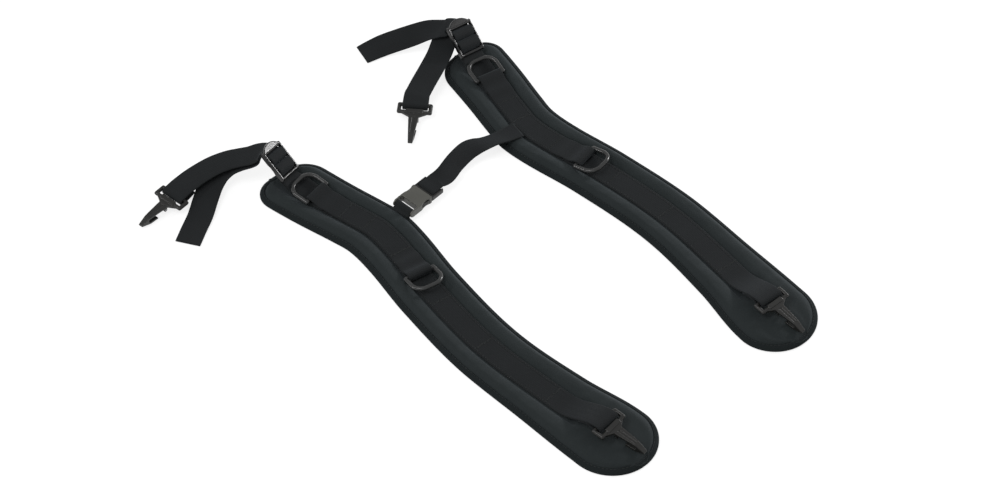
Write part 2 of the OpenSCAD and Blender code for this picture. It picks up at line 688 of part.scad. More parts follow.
// Roll of the right tail's middle, the near edge going down once clear of the hook's leg
right_tail_roll = 16;
tail_roll_from = 0.3;
function right_tail_rolls(n) = [
  for (i = [1 : n])
    let (t = (i / n - tail_roll_from) / (1 - tail_roll_from))
    t > 0 ? -right_tail_roll * sin(180 * t) : 0
];
right_hook_route = [
  [-2, 22.5, 27.5], [-10, 22, 22], [-17, 18.5, 18.2], [-28, 12, 16.5], [-44, 4.5, 14.7], [-62, -3.5, 13]
];
function set_out(side, route) = [for (p = route) beside_lock(side, p)];

// Loop of webbing round a hook's bar, leaving on the upper side and tucked back below
function hook_ahead(turn) = [-sin(turn), cos(turn), 0];
upper_slack = 1.5;
function hook_wrap(bar_at, turn) =
  let (h = hook_ahead(turn))
  [
    bar_at - 9 * h + (wrap_r + 1) * up,
    for (a = [-10 : 20 : 170]) bar_at + upper_slack * h + wrap_r * (sin(a) * h + cos(a) * up),
    bar_at - 4 * h - (wrap_r - 0.4) * up,
    bar_at - 9 * h - (wrap_r - 1.6) * up,
    bar_at - 15 * h - (wrap_r - 3.2) * up
  ];
function hook_across(turn, n) = [for (i = [1 : n]) [cos(turn), sin(turn), 0]];

steps_per_leg = 3;
function free_leg(side, from, route) =
  let (start = lock_point(side, from), path = smooth_path(concat([start], route), steps_per_leg))
  [for (i = [1 : len(path) - 1]) path[i]];

// Turns the direction across a leg from the lock's to the level one over its first points
function leg_across(side, leg) =
  let (level = level_across(leg))
  [for (i = [0 : len(leg) - 1]) unit(mix(lock_across(side), level[i], ease((i + 1) / 6)))];

module adjuster_webbing(side) {
  turn = upper_turn(side);
  hook_route = set_out(side, side == left ? left_hook_route : right_hook_route);
  tail_route = set_out(side, side == left ? left_tail_route : right_tail_route);
  first = lock_line[0];
  last = lock_line[len(lock_line) - 1];
  wrap = hook_wrap(upper_bar(side), turn);
  hook_leg = free_leg(side, side == left ? last : first, concat(hook_route, [wrap[0]]));
  hook_end = [for (i = [1 : len(wrap) - 1]) wrap[i]];
  tail_leg = free_leg(side, side == left ? first : last, tail_route);
  hook_part = concat(hook_leg, hook_end);
  hook_part_across = concat(leg_across(side, hook_leg), hook_across(turn, len(hook_end)));
  tail_level = leg_across(side, tail_leg);
  tail_across = side == left
    ? tail_level
    : rolled_across(tail_leg, tail_level, right_tail_rolls(len(tail_leg)));
  locked = [for (p = lock_line) lock_point(side, p)];
  locked_across = [for (p = lock_line) lock_across(side)];
  points = side == left
    ? concat(reversed(tail_leg), locked, hook_part)
    : concat(reversed(hook_part), locked, tail_leg);
  across = side == left
    ? concat(reversed(tail_across), locked_across, hook_part_across)
    : concat(reversed(hook_part_across), locked_across, tail_across);
  color(webbing) laid_out() sweep(band(points, across, web_w, web_t));
}

// Side-release buckle: local x along the strap from the pad's edge, z up from the table
bound_z = edge_t + layer_gap + binding_t;
buckle_z = bound_z + 0.2 + socket_t / 2;
pad_edge_x = centre(chest_s) - half(chest_s);
tab_reach = 3.2;
buckle_drop = 8.8;
buckle_start = [-pad_edge_x + tab_reach, chest_s - buckle_drop, buckle_z];
module on_buckle() laid_out() translate(buckle_start) rotate(buckle_turn) children();
bar_end = 7;
cavity_from = bar_end + socket_wall;
slot_half = chest_w / 2 + side_gap;
window_from = 12;
window_to = 22;
prong_t = 4.4;
waist_r = 14;
waist_in = 1.1;
prong_w = 3;
prong_root_y = 7.2;
cavity_half = buckle_w / 2 - socket_wall;
plug_from = socket_len + free_gap;
module buckle_socket() {
  color(moulding) on_buckle() {
    difference() {
      translate([0, -buckle_w / 2, -socket_t / 2]) cube([socket_len, buckle_w, socket_t]);
      translate([cavity_from, -cavity_half, -prong_t / 2 - free_gap])
        cube([socket_len, 2 * cavity_half, prong_t + 2 * free_gap]);
      for (y = [-1, 1])
        translate([window_from, y * buckle_w / 2 - buckle_w / 4, -prong_t / 2 - free_gap])
          cube([window_to - window_from, buckle_w / 2, prong_t + 2 * free_gap]);
      for (y = [-1, 1])
        translate([(window_from + window_to) / 2, y * (buckle_w / 2 + waist_r - waist_in), 0])
          cylinder(r = waist_r, h = 2 * socket_t, center = true);
      translate([-1, -slot_half, -socket_t]) cube([bar_end + 1, 2 * slot_half, 2 * socket_t]);
    }
    rotate([90, 0, 0]) cylinder(r = buckle_bar_r, h = buckle_w - 1, center = true);
    for (y = [-1, 1]) translate([0, y * (slot_half + buckle_w / 2) / 2, 0])
      rotate([90, 0, 0]) cylinder(r = socket_t / 2, h = buckle_w / 2 - slot_half, center = true);
  }
}

// Plug: frame with two bars for the webbing and a guide that runs into the socket
plug_bars = [plug_from + 5.6, plug_from + plug_len - buckle_bar_r - 0.4];
plug_wrap_r = buckle_bar_r + web_gap + web_t / 2;
plug_slot = plug_bars[0] - plug_wrap_r - web_t / 2 - 0.15;
prong_root_x = plug_from - 0.6;
guide_w = 5;
module buckle_plug() {
  color(moulding) on_buckle() {
    difference() {
      translate([plug_from, -buckle_w / 2, -prong_t / 2 - 0.6]) cube([plug_len, buckle_w, prong_t + 1.2]);
      translate([plug_slot, -slot_half, -socket_t]) cube([plug_len, 2 * slot_half, 2 * socket_t]);
      for (y = [-1, 1]) translate([prong_root_x, y * prong_root_y, 0])
        cylinder(r = prong_w / 2 + pin_gap, h = socket_t, center = true);
    }
    for (x = plug_bars) translate([x, 0, 0])
      rotate([90, 0, 0]) cylinder(r = buckle_bar_r, h = buckle_w - 1, center = true);
    translate([cavity_from + 3, -guide_w / 2, -prong_t / 2])
      cube([plug_from - cavity_from - 2, guide_w, prong_t]);
  }
}

// Sprung arm with a barb that catches in the socket's window
barb_x = window_from + free_gap;
barb_len = window_to - window_from - 2 * free_gap;
prong_y = cavity_half - prong_w - free_gap;
module prong() {
  translate([0, 0, -prong_t / 2]) linear_extrude(prong_t) {
    translate([prong_root_x, prong_root_y]) circle(prong_w / 2);
    polygon([
      [prong_root_x, prong_root_y - prong_w / 2], [prong_root_x, prong_root_y + prong_w / 2],
      [barb_x + barb_len, prong_y + prong_w], [barb_x + barb_len, buckle_w / 2],
      [barb_x + barb_len - 2, buckle_w / 2], [barb_x, prong_y + prong_w], [barb_x, prong_y],
      [barb_x + barb_len, prong_y]
    ]);
  }
}
module front_prong() color(moulding) on_buckle() rotate([180, 0, 0]) prong();
module rear_prong() color(moulding) on_buckle() prong();

// Tab: loop of sternum webbing from the top of the bound edge round the socket's bar
tab_in = binding_w - 0.3;
tab_wrap_r = buckle_bar_r + web_gap + web_t / 2;
tab_skew = tan(lean(chest_s) - buckle_turn);
tab_end = -tab_reach - tab_in;
tab_low = bound_z + layer_gap + web_t / 2 - buckle_z;
tab_high = tab_low + web_t + layer_gap;
tab_line = [
  [tab_end, tab_high], [tab_end + 2.8, tab_high + 0.9],
  for (a = [-60 : 30 : 240]) [tab_wrap_r * sin(a), tab_wrap_r * cos(a)],
  [tab_end + 3.2, tab_low + 0.45], [tab_end, tab_low]
];
module buckle_tab() {
  points = [for (p = tab_line) [p[0], 0, p[1]]];
  across = [for (p = tab_line) [p[0] < tab_end + 1 ? tab_skew : 0, -1, 0]];
  color(webbing) on_buckle() sweep(band(points, across, chest_w, web_t));
}

// Sternum webbing: over the plug's bars, up in a loose twisted arch and onto the pad's inner lobe.
// Each place has its roll, the near edge going down.
function buckle_point(x, z) = buckle_start + x * [cos(buckle_turn), sin(buckle_turn), 0] + z * up;
chest_lay_z = crown_t + 0.2 + web_t / 2;
chest_route = [
  [-8, chest_s - 5.6, 13.2, 20], [9, chest_s - 0.3, 13.8, 32], [26.5, chest_s + 3.1, 14, 24],
  [37.5, chest_s + 2.5, 13.6, 8], [47, chest_s + 0.2, 12.8, -8], [pad_edge_x - 6.6, chest_s - 2.3, 12, -14],
  [pad_edge_x + 6, chest_s - 4.8, chest_lay_z + 0.6, -6], [pad_edge_x + 20, chest_s - 7.2, chest_lay_z, 0]
];
plug_line = [
  [plug_bars[1] + 2, -plug_wrap_r], [plug_bars[1] - 3, -plug_wrap_r],
  for (a = [180 : 30 : 360]) [plug_bars[0] + plug_wrap_r * sin(a), plug_wrap_r * cos(a)],
  [plug_bars[0] + 4, plug_wrap_r], [plug_bars[1], plug_wrap_r], [plug_bars[1] + 5, plug_wrap_r + 0.6]
];
function rolled_across(path, across, rolls) = [
  for (i = [0 : len(path) - 1])
    cos(rolls[i]) * across[i] - sin(rolls[i]) * unit(cross(across[i], tangent(path, i)))
];
module sternum_webbing() {
  held = [for (p = plug_line) buckle_point(p[0], p[1])];
  held_across = [for (p = plug_line) [sin(buckle_turn), -cos(buckle_turn), 0]];
  exit = held[len(held) - 1];
  path = smooth_path(concat([[exit.x, exit.y, exit.z, 0]], chest_route), steps_per_leg);
  free = [for (i = [1 : len(path) - 1]) [path[i][0], path[i][1], path[i][2]]];
  rolls = [for (i = [1 : len(path) - 1]) path[i][3]];
  color(webbing) laid_out()
    sweep(band(
      concat(held, free), concat(held_across, rolled_across(free, level_across(free), rolls)), chest_w, web_t
    ));
}

foam_core(left);  // left_foam_core
face_cover(left);  // left_face_cover
back_cover(left);  // left_back_cover
edge_binding(left);  // left_edge_binding
spine_webbing(left);  // left_spine_webbing
ring_strap(left);  // left_ring_strap
bartacks(left);  // left_bartacks
upper_ring(left);  // left_upper_ring
lower_ring(left);  // left_lower_ring
lower_hook(left);  // left_lower_hook
lower_gate(left);  // left_lower_gate
lower_gate_pin(left);  // left_lower_gate_pin
lower_gate_spring(left);  // left_lower_gate_spring
ladder_lock(left);  // left_ladder_lock
adjuster_webbing(left);  // left_adjuster_webbing
upper_hook(left);  // left_upper_hook
upper_gate(left);  // left_upper_gate
upper_gate_pin(left);  // left_upper_gate_pin
upper_gate_spring(left);  // left_upper_gate_spring
foam_core(right);  // right_foam_core
face_cover(right);  // right_face_cover
back_cover(right);  // right_back_cover
edge_binding(right);  // right_edge_binding
spine_webbing(right);  // right_spine_webbing
ring_strap(right);  // right_ring_strap
bartacks(right);  // right_bartacks
upper_ring(right);  // right_upper_ring
lower_ring(right);  // right_lower_ring
lower_hook(right);  // right_lower_hook
lower_gate(right);  // right_lower_gate
lower_gate_pin(right);  // right_lower_gate_pin
lower_gate_spring(right);  // right_lower_gate_spring
ladder_lock(right);  // right_ladder_lock
adjuster_webbing(right);  // right_adjuster_webbing
upper_hook(right);  // right_upper_hook
upper_gate(right);  // right_upper_gate
upper_gate_pin(right);  // right_upper_gate_pin
upper_gate_spring(right);  // right_upper_gate_spring
buckle_tab();
buckle_socket();
buckle_plug();
front_prong();
rear_prong();
sternum_webbing();
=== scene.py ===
import bpy
import bmesh
import math
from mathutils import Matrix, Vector, noise


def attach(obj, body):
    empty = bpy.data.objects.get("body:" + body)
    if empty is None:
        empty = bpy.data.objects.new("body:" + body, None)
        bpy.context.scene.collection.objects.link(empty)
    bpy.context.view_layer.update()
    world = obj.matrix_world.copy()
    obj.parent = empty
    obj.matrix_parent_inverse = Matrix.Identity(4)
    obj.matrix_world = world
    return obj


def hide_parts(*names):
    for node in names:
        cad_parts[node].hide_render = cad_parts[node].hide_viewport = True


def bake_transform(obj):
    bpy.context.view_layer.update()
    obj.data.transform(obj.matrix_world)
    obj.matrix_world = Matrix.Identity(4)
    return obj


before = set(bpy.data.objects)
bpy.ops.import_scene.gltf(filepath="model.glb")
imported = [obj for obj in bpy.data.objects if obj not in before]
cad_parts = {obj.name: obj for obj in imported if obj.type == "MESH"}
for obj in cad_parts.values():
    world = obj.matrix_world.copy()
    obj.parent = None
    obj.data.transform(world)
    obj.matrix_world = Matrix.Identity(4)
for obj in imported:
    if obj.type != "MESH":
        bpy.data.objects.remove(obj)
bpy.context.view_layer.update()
scene = bpy.context.scene

# Sizes are in millimetres, on one strap's own frame: x outward from the mirror plane, y along the pad
# from its lower end. MM turns them into metres.
MM = 0.001
SHIFT_X = 56.7
SHIFT_Y = 285.2
STAGGER = 4.0
SIDES = {"left": -1, "right": 1}
UP = Vector((0, 0, 1))
PATH_STEPS = 3

PAD_LENGTH = 491.0
PAD_W = 68.0
END_W = 82.0
TOP_R = 24.0
PAD_OFFSET = 98.5
PAD_SWAY = 20.0
CROWN_T = 9.5
CHANNEL_T = 5.6
EDGE_T = 4.2
BACK_T = 0.9
BINDING_W = 4.2
BINDING_T = 0.8
LAYER_GAP = 0.05
WEB_W = 25.0
WEB_T = 1.4
CHEST_W = 20.0
WEB_GAP = 0.3

UPPER_RING_S = PAD_LENGTH - 49.0
LOWER_RING_S = UPPER_RING_S - 142.0
LOCK_S = PAD_LENGTH - 9.5
CHEST_S = PAD_LENGTH - 110.0
HOOK_S = END_W / 2 + 9.5
HOOK_BAR_Z = 19.5
LOCK_BAR_Z = 22.0
LOCK_TILT = math.radians(37.0)
LOCK_ROLL = {-1: math.radians(20.0), 1: math.radians(12.0)}
FOOT_STEP = 8.6
BAR_STEP = 12.4
HEAD_Y = BAR_STEP + 8.0

BOW = [(0, 0.28), (0.1, 0.38), (0.22, 0.72), (0.395, 1), (0.57, 0.62), (0.69, 0.12),
       (0.755, 0), (0.8, 0.2), (0.88, 0.65), (0.955, 1), (1, 1.15)]
SWELL = [(0, 1), (0.11, 1), (0.22, 0.36), (0.365, 0), (0.76, 0), (0.93, 0.15), (1, 0.15)]


def placed(name, data):
    """Puts a mesh, lamp or camera in the scene."""
    thing = bpy.data.objects.new(name, data)
    scene.collection.objects.link(thing)
    return thing


# Camera at the photograph's viewing angle, with its aim and distance in metres
AZIMUTH = math.radians(-42.33)
ELEVATION = math.radians(48.55)
LENS = 121.7
SENSOR_W = 36.0
AIM = Vector((0.0318, -0.0062, 0.0035))
DISTANCE = 3.195


def make_camera():
    back = Vector((math.sin(AZIMUTH) * math.cos(ELEVATION),
                   -math.cos(AZIMUTH) * math.cos(ELEVATION),
                   math.sin(ELEVATION)))
    data = bpy.data.cameras.new("camera")
    data.lens = LENS
    data.sensor_width = SENSOR_W
    data.clip_end = 50.0
    camera = placed("camera", data)
    camera.location = AIM + DISTANCE * back
    camera.rotation_euler = back.to_track_quat("Z", "Y").to_euler()
    scene.camera = camera


make_camera()


# Curves
def mix(a, b, t):
    return a + (b - a) * t


def ease(t):
    c = min(1.0, max(0.0, t))
    return c * c * (3 - 2 * c)


def knot_slope(knots, i):
    a, b = max(0, i - 1), min(len(knots) - 1, i + 1)
    return (knots[b][1] - knots[a][1]) / (knots[b][0] - knots[a][0])


def on_curve(knots, x):
    i = 0
    while i < len(knots) - 2 and x >= knots[i + 1][0]:
        i += 1
    w = knots[i + 1][0] - knots[i][0]
    t = (x - knots[i][0]) / w
    rise = 3 * t * t - 2 * t * t * t
    return (mix(knots[i][1], knots[i + 1][1], rise)
            + w * knot_slope(knots, i) * t * (1 - t) ** 2
            - w * knot_slope(knots, i + 1) * t * t * (1 - t))


def smooth_path(points, steps):
    """Points on a smooth curve through the given ones."""
    p = [Vector(q) for q in points]
    out = []
    for i in range(len(p) - 1):
        m0 = (p[i + 1] - p[max(0, i - 1)]) / 2
        m1 = (p[min(len(p) - 1, i + 2)] - p[i]) / 2
        for k in range(steps):
            t = k / steps
            rise = 3 * t * t - 2 * t * t * t
            out.append(p[i] + (p[i + 1] - p[i]) * rise + m0 * t * (1 - t) ** 2 - m1 * t * t * (1 - t))
    out.append(p[-1])
    return out


def centre(s):
    return PAD_OFFSET + PAD_SWAY * on_curve(BOW, s / PAD_LENGTH)


def lean(s):
    return math.atan2(centre(s + 1) - centre(s - 1), 2)


def full_half(s):
    return mix(PAD_W, END_W, on_curve(SWELL, s / PAD_LENGTH)) / 2


def inset_half(s, w):
    """Half width of the outline set in by w."""
    end_r, top_r = END_W / 2 - w, TOP_R - w
    low = min(end_r, max(0.0, END_W / 2 - s))
    high = min(top_r, max(0.0, TOP_R - max(0.0, PAD_LENGTH - s)))
    full = full_half(s) - w / math.cos(lean(s))
    return full * math.sqrt(1 - (low / end_r) ** 2) - top_r + math.sqrt(top_r ** 2 - high ** 2)


def half(s):
    return inset_half(s, 0.0)


def flange(s, w):
    return half(s) - max(0.55 * half(s), inset_half(s, w))


def ahead_by(side):
    return STAGGER if side > 0 else 0.0


def on_pad(side, x, y, z):
    """A place on one side's half frame, in the frame of the part."""
    return Vector((side * x + SHIFT_X, y + ahead_by(side) - SHIFT_Y, z)) * MM


def laid(p):
    """A place in the laid-out pair's frame, in the frame of the part."""
    return Vector((p[0] + SHIFT_X, p[1] - SHIFT_Y, p[2])) * MM


# Meshes
def new_piece(name, verts, faces, uv=None):
    mesh = bpy.data.meshes.new(name)
    mesh.from_pydata([tuple(v) for v in verts], [], faces)
    if uv:
        layer = mesh.uv_layers.new(name="UVMap")
        for loop in mesh.loops:
            layer.data[loop.index].uv = uv[loop.vertex_index]
    bm = bmesh.new()
    bm.from_mesh(mesh)
    bmesh.ops.recalc_face_normals(bm, faces=bm.faces)
    bm.to_mesh(mesh)
    bm.free()
    mesh.polygons.foreach_set("use_smooth", [True] * len(mesh.polygons))
    return placed(name, mesh)


def loft(name, rings, uv, closed=False):
    """A closed skin through rings of points."""
    n, count = len(rings[0]), len(rings)
    verts = [p for ring in rings for p in ring]
    coords = [c for ring in uv for c in ring]
    faces = []
    for i in range(count if closed else count - 1):
        a, b = i * n, ((i + 1) % count) * n
        for j in range(n):
            k = (j + 1) % n
            faces.append((a + j, a + k, b + k, b + j))
    if not closed:
        faces.append(tuple(range(n - 1, -1, -1)))
        faces.append(tuple(range((count - 1) * n, count * n)))
    return new_piece(name, verts, faces, coords)


def strip_section(w, t):
    """Points round flat webbing with soft edges: across, thickness."""
    r = t / 2
    flat = [mix(-1, 1, k / 10) * (w / 2 - r) for k in range(11)]
    edge = [math.radians(a) for a in (60, 30, 0, -30, -60)]
    points = [(x, r) for x in flat]
    points += [(w / 2 - r + r * math.cos(a), r * math.sin(a)) for a in edge]
    points += [(x, -r) for x in reversed(flat)]
    points += [(-w / 2 + r - r * math.cos(a), -r * math.sin(a)) for a in edge]
    return points


def resampled(points, across, pitch):
    """The same route with even, close steps."""
    out, out_across, carried = [points[0]], [across[0]], 0.0
    for i in range(len(points) - 1):
        step = (points[i + 1] - points[i]).length
        while carried + step >= pitch * len(out):
            t = (pitch * len(out) - carried) / step
            out.append(points[i].lerp(points[i + 1], t))
            out_across.append(across[i].lerp(across[i + 1], t))
        carried += step
    if (out[-1] - points[-1]).length > 0.3 * pitch:
        out.append(points[-1])
        out_across.append(across[-1])
    else:
        out[-1], out_across[-1] = points[-1], across[-1]
    return out, out_across


def run_at(points, i):
    """Direction of a route at one of its points."""
    return points[min(len(points) - 1, i + 1)] - points[max(0, i - 1)]


def webbing_strip(name, points, across, w, pitch=1.5):
    """Flat woven webbing along a route."""
    points, across = resampled(points, across, pitch)
    section = strip_section(w, WEB_T)
    rings, uv, run = [], [], 0.0
    for i, p in enumerate(points):
        a = across[i]
        n = a.cross(run_at(points, i).normalized()).normalized()
        if i:
            run += (p - points[i - 1]).length
        rings.append([laid(p + a * q[0] + n * q[1]) for q in section])
        uv.append([(run, q[0]) for q in section])
    return loft(name, rings, uv)


def smooth_strip(name, points, across):
    """Load webbing on a smooth route through the given points."""
    spread = []
    for i in range(len(across) - 1):
        spread += [across[i].lerp(across[i + 1], k / PATH_STEPS).normalized() for k in range(PATH_STEPS)]
    return webbing_strip(name, smooth_path(points, PATH_STEPS), spread + [across[-1]], WEB_W)


def stitch_row(name, places, length=2.6, r=0.3):
    """Thread stitches: each place is its middle, direction and the way up, in millimetres."""
    verts, faces = [], []
    stops = [(-0.5, 0.25), (-0.36, 0.8), (0.0, 1.0), (0.36, 0.8), (0.5, 0.25)]
    for mid, d, up in places:
        across = d.cross(up).normalized()
        start = len(verts)
        for along, fat in stops:
            for k in range(6):
                a = math.radians(60 * k)
                verts.append(laid(mid + d * (along * length)
                                  + across * (math.cos(a) * r * fat)
                                  + up * (math.sin(a) * r * fat)))
        for i in range(len(stops) - 1):
            for k in range(6):
                m = (k + 1) % 6
                a, b = start + 6 * i, start + 6 * i + 6
                faces.append((a + k, a + m, b + m, b + k))
        faces.append(tuple(start + k for k in range(5, -1, -1)))
        faces.append(tuple(start + 6 * (len(stops) - 1) + k for k in range(6)))
    return new_piece(name, verts, faces)


def spaced(points, pitch):
    """Places along a route, a stitch apart, with their directions."""
    out, carried, count = [], 0.0, 0
    for i in range(len(points) - 1):
        step = (points[i + 1] - points[i]).length
        d = (points[i + 1] - points[i]).normalized()
        while carried + step >= pitch * (count + 0.5):
            out.append((points[i] + d * (pitch * (count + 0.5) - carried), d))
            count += 1
        carried += step
    return out


# Pads
FLANGE_W = BINDING_W + 0.15
CHANNEL_HALF = WEB_W / 2 + 1.4
CHANNEL_FROM = 60.0
CHANNEL_FADE = 19.0
END_FADE = 45.0
# Creases across the inner lobe by the sternum strap: place along the pad and depth
CREASES = ((356.0, 0.8), (368.0, 1.5), (380.0, 0.9))
CREASE_W = 3.2
CREASE_SLANT = 0.16
EDGE_SEAM_IN = 3.1
EDGE_PITCH = 3.7
EDGE_STITCH = 2.9


def swelling(s):
    d = min(s, PAD_LENGTH - s) - FLANGE_W
    c = min(1.0, max(0.0, d / END_FADE))
    return math.sqrt(1 - (1 - c) ** 2)


def channel(s):
    return mix(CROWN_T, CHANNEL_T, ease((s - CHANNEL_FROM) / CHANNEL_FADE))


def lobe_height(s, u, side):
    """Height of the stuffed face at an offset u from the centre line."""
    h = half(s)
    inner = h - flange(s, FLANGE_W)
    c = min(CHANNEL_HALF, 0.49 * inner)
    low, away = channel(s), abs(u)
    if away > inner:
        return EDGE_T - 1.5 * (away - inner) / (h - inner)
    if away <= c:
        z = low
    else:
        t = (away - c) / (inner - c)
        base = mix(low, EDGE_T, t)
        outer = max(0.0, 2 * t - 1)
        puffed = math.sin(math.pi * t) ** 0.55 if t < 0.5 else (1 - outer ** 2.5) ** 1.25
        z = base + (CROWN_T - base) * puffed
        puff = math.sin(math.pi * t)
        place = Vector((0.05 * s, 0.11 * u, 3.0 * side))
        z += 0.5 * puff * noise.noise(place)
        z += 0.22 * (1 - t) * puff * math.sin(s / 2.6 + 2.0 * noise.noise(place * 1.7))
        z += 0.18 * t * puff * math.sin(s / 2.1 + 2.5 * noise.noise(place * 1.3 + Vector((4, 0, 0))))
        if u < 0:
            for at, deep in CREASES:
                d = (s - at - CREASE_SLANT * (away - c)) / CREASE_W
                z -= deep * puff * math.exp(-d * d)
    return EDGE_T + (z - EDGE_T) * swelling(s) + 0.75 * ease(3 * (away / inner) - 2)


def fine_stations():
    end_r = END_W / 2
    out = [end_r * (1 - math.cos(math.radians(a))) for a in range(4, 90, 4)]
    n = 200
    out += [mix(end_r, PAD_LENGTH - TOP_R, k / n) for k in range(n + 1)]
    out += [PAD_LENGTH - TOP_R * (1 - math.cos(math.radians(a))) for a in range(84, 0, -6)]
    return out + [PAD_LENGTH]


STATIONS = fine_stations()


def make_pad(label, side):
    rings, uv = [], []
    for s in STATIONS:
        h = half(s)
        inner = h - flange(s, FLANGE_W)
        c = min(CHANNEL_HALF, 0.49 * inner)
        offsets = [mix(inner, c, k / 18) for k in range(19)]
        offsets = [-h, -mix(h, inner, 0.99)] + [-u for u in offsets]
        offsets += [-c / 2, 0.0]
        offsets += [-u for u in reversed(offsets[:-1])]
        top = [(u, lobe_height(s, u, side) - 0.02) for u in offsets]
        low = BACK_T + LAYER_GAP
        section = top + [(h, low), (h / 2, low), (-h / 2, low), (-h, low)]
        rings.append([on_pad(side, centre(s) + u, s, z) for u, z in section])
        uv.append([(s, u) for u, z in section])
    return loft(label + "_pad", rings, uv)


def rim_points(stations):
    """The pad's outline, up its outer edge and down its inner one."""
    outer = [Vector((centre(s) + half(s), s)) for s in stations]
    inner = [Vector((centre(s) - half(s), s)) for s in reversed(stations)]
    return outer + inner


def rim_normals(rim):
    n = len(rim)
    out = []
    for i in range(n):
        d = (rim[(i + 1) % n] - rim[i - 1]).normalized()
        out.append(Vector((d.y, -d.x)))
    return out


def make_binding(label, side):
    rim = rim_points(STATIONS)
    normals = rim_normals(rim)
    low, high = 2 * LAYER_GAP, EDGE_T + LAYER_GAP
    top = high + BINDING_T
    out = LAYER_GAP + BINDING_T
    bend = [math.radians(a) for a in (15, 40, 65, 90)]
    section = [(-BINDING_W, high - 0.5), (-BINDING_W, top - 0.2), (-BINDING_W + 0.3, top), (-3.2, top),
               (-2.2, top - 0.2), (-1.2, top - 0.65), (-0.4, top - 1.2), (0.25, top - 1.85),
               (0.65, top - 2.5), (out, top - 3.1), (out, 1.3)]
    section += [(out - 1.0 + math.cos(a), low + 1.0 - math.sin(a)) for a in bend]
    section += [(-BINDING_W + 0.3, low), (-BINDING_W, low + 0.2), (-BINDING_W, BACK_T - 0.05),
                (LAYER_GAP, BACK_T), (LAYER_GAP, EDGE_T - 1.45)]
    rings, uv, run = [], [], 0.0
    for i, p in enumerate(rim):
        if i:
            run += (p - rim[i - 1]).length
        ripple = 0.12 * noise.noise(Vector((run / 9.0, 1.0, side)))
        ring, coords, reach = [], [], 0.0
        for k, (o, z) in enumerate(section):
            q = p + normals[i] * o
            lift = ripple if z > top - 0.3 else 0.0
            ring.append(on_pad(side, q.x, q.y, z + lift))
            if k:
                reach += math.dist(section[k - 1], section[k])
            coords.append((run, reach))
        rings.append(ring)
        uv.append(coords)
    return loft(label + "_edge_tape", rings, uv, closed=True)


def pad_to_pair(side, v):
    """From one side's half frame to the laid-out pair's frame."""
    return Vector((side * v.x, v.y + ahead_by(side), v.z))


def make_binding_stitches(label, side):
    rim = rim_points(STATIONS)
    normals = rim_normals(rim)
    z = EDGE_T + LAYER_GAP + BINDING_T + 0.06
    line = [(p - n * EDGE_SEAM_IN).to_3d() + z * UP for p, n in zip(rim, normals)]
    line = [pad_to_pair(side, p) for p in line + line[:1]]
    places = [(p, d, UP) for p, d in spaced(line, EDGE_PITCH)]
    return stitch_row(label + "_edge_stitches", places, length=EDGE_STITCH)


def make_lining(label, side):
    stations = [s for s in STATIONS if FLANGE_W + 0.5 < s < PAD_LENGTH - FLANGE_W - 0.5]
    rings, uv = [], []
    for s in stations:
        h = half(s) - flange(s, FLANGE_W)
        section = []
        for k in range(13):
            u = mix(-h, h, k / 12)
            section.append((u, 0.05 + 0.25 * (1 - math.cos(math.pi * u / h)) / 2))
        section += [(h, BACK_T), (-h, BACK_T)]
        rings.append([on_pad(side, centre(s) + u, s, z) for u, z in section])
        uv.append([(s, u) for u, z in section])
    return loft(label + "_lining", rings, uv)


# Webbing on the pads
SPINE_Z = CHANNEL_T + LAYER_GAP + WEB_T / 2
STRAP_Z = SPINE_Z + WEB_T + LAYER_GAP
WRAP_R = 2.0 + WEB_GAP + WEB_T / 2
RING_WRAP_R = WRAP_R + 0.2
HOOK_WRAP_R = WRAP_R + 0.3
RING_Z = STRAP_Z + RING_WRAP_R
LOOP_S = HOOK_S - 2.0
LIFT_FROM = 97.0
FOLD = 1.3 * WEB_T
HOOK_FOLD = 23.0
LOCK_FOLD = 14.0
RISE_LEN = 29.0
TWIST_FROM = 0.35
TAIL = 16.0
SEAM_IN = 2.2
SEAM_PITCH = 3.6
THREAD_RISE = 0.08
TACK_STITCHES = 30
TACK_HALF = 10.3
TACK_SLANT = 0.35

# Path over the lock's anchor bar, in the lock's own frame: along it and up from its plane
ANCHOR_LINE = [(-FOOT_STEP, -2.9), (-5.9, -1.9), (-5.2, 0.2), (-3, 2.2), (-1, 3.1), (2, 3), (4.6, 2.1),
               (5.6, 0.4), (4.6, -1.9), (2.4, -3.7), (-3, -4.4), (-FOOT_STEP, -5.0)]


def on_lock(p, roll):
    """A place on the spine: along the pad, height, shift outward and roll."""
    c, d = math.cos(LOCK_TILT), math.sin(LOCK_TILT)
    lift = p[1] * math.cos(roll)
    along, height = LOCK_S + p[0] * c - lift * d, LOCK_BAR_Z + p[0] * d + lift * c
    return along, height, p[1] * math.sin(roll), roll


def rising(t, roll, drop):
    """The spine's climb from the pad to the lock, turning as it goes."""
    foot = on_lock(ANCHOR_LINE[0], roll)
    turn = roll * ease((t - TWIST_FROM) / (1 - TWIST_FROM))
    return (foot[0] - RISE_LEN * (1 - t), mix(SPINE_Z, foot[1], t ** 1.5) - drop * math.cos(turn),
            foot[2] * t - drop * math.sin(turn), turn)


def spine_low(s):
    return mix(SPINE_Z, HOOK_BAR_Z + HOOK_WRAP_R, ease((LIFT_FROM - s) / (LIFT_FROM - LOOP_S)))


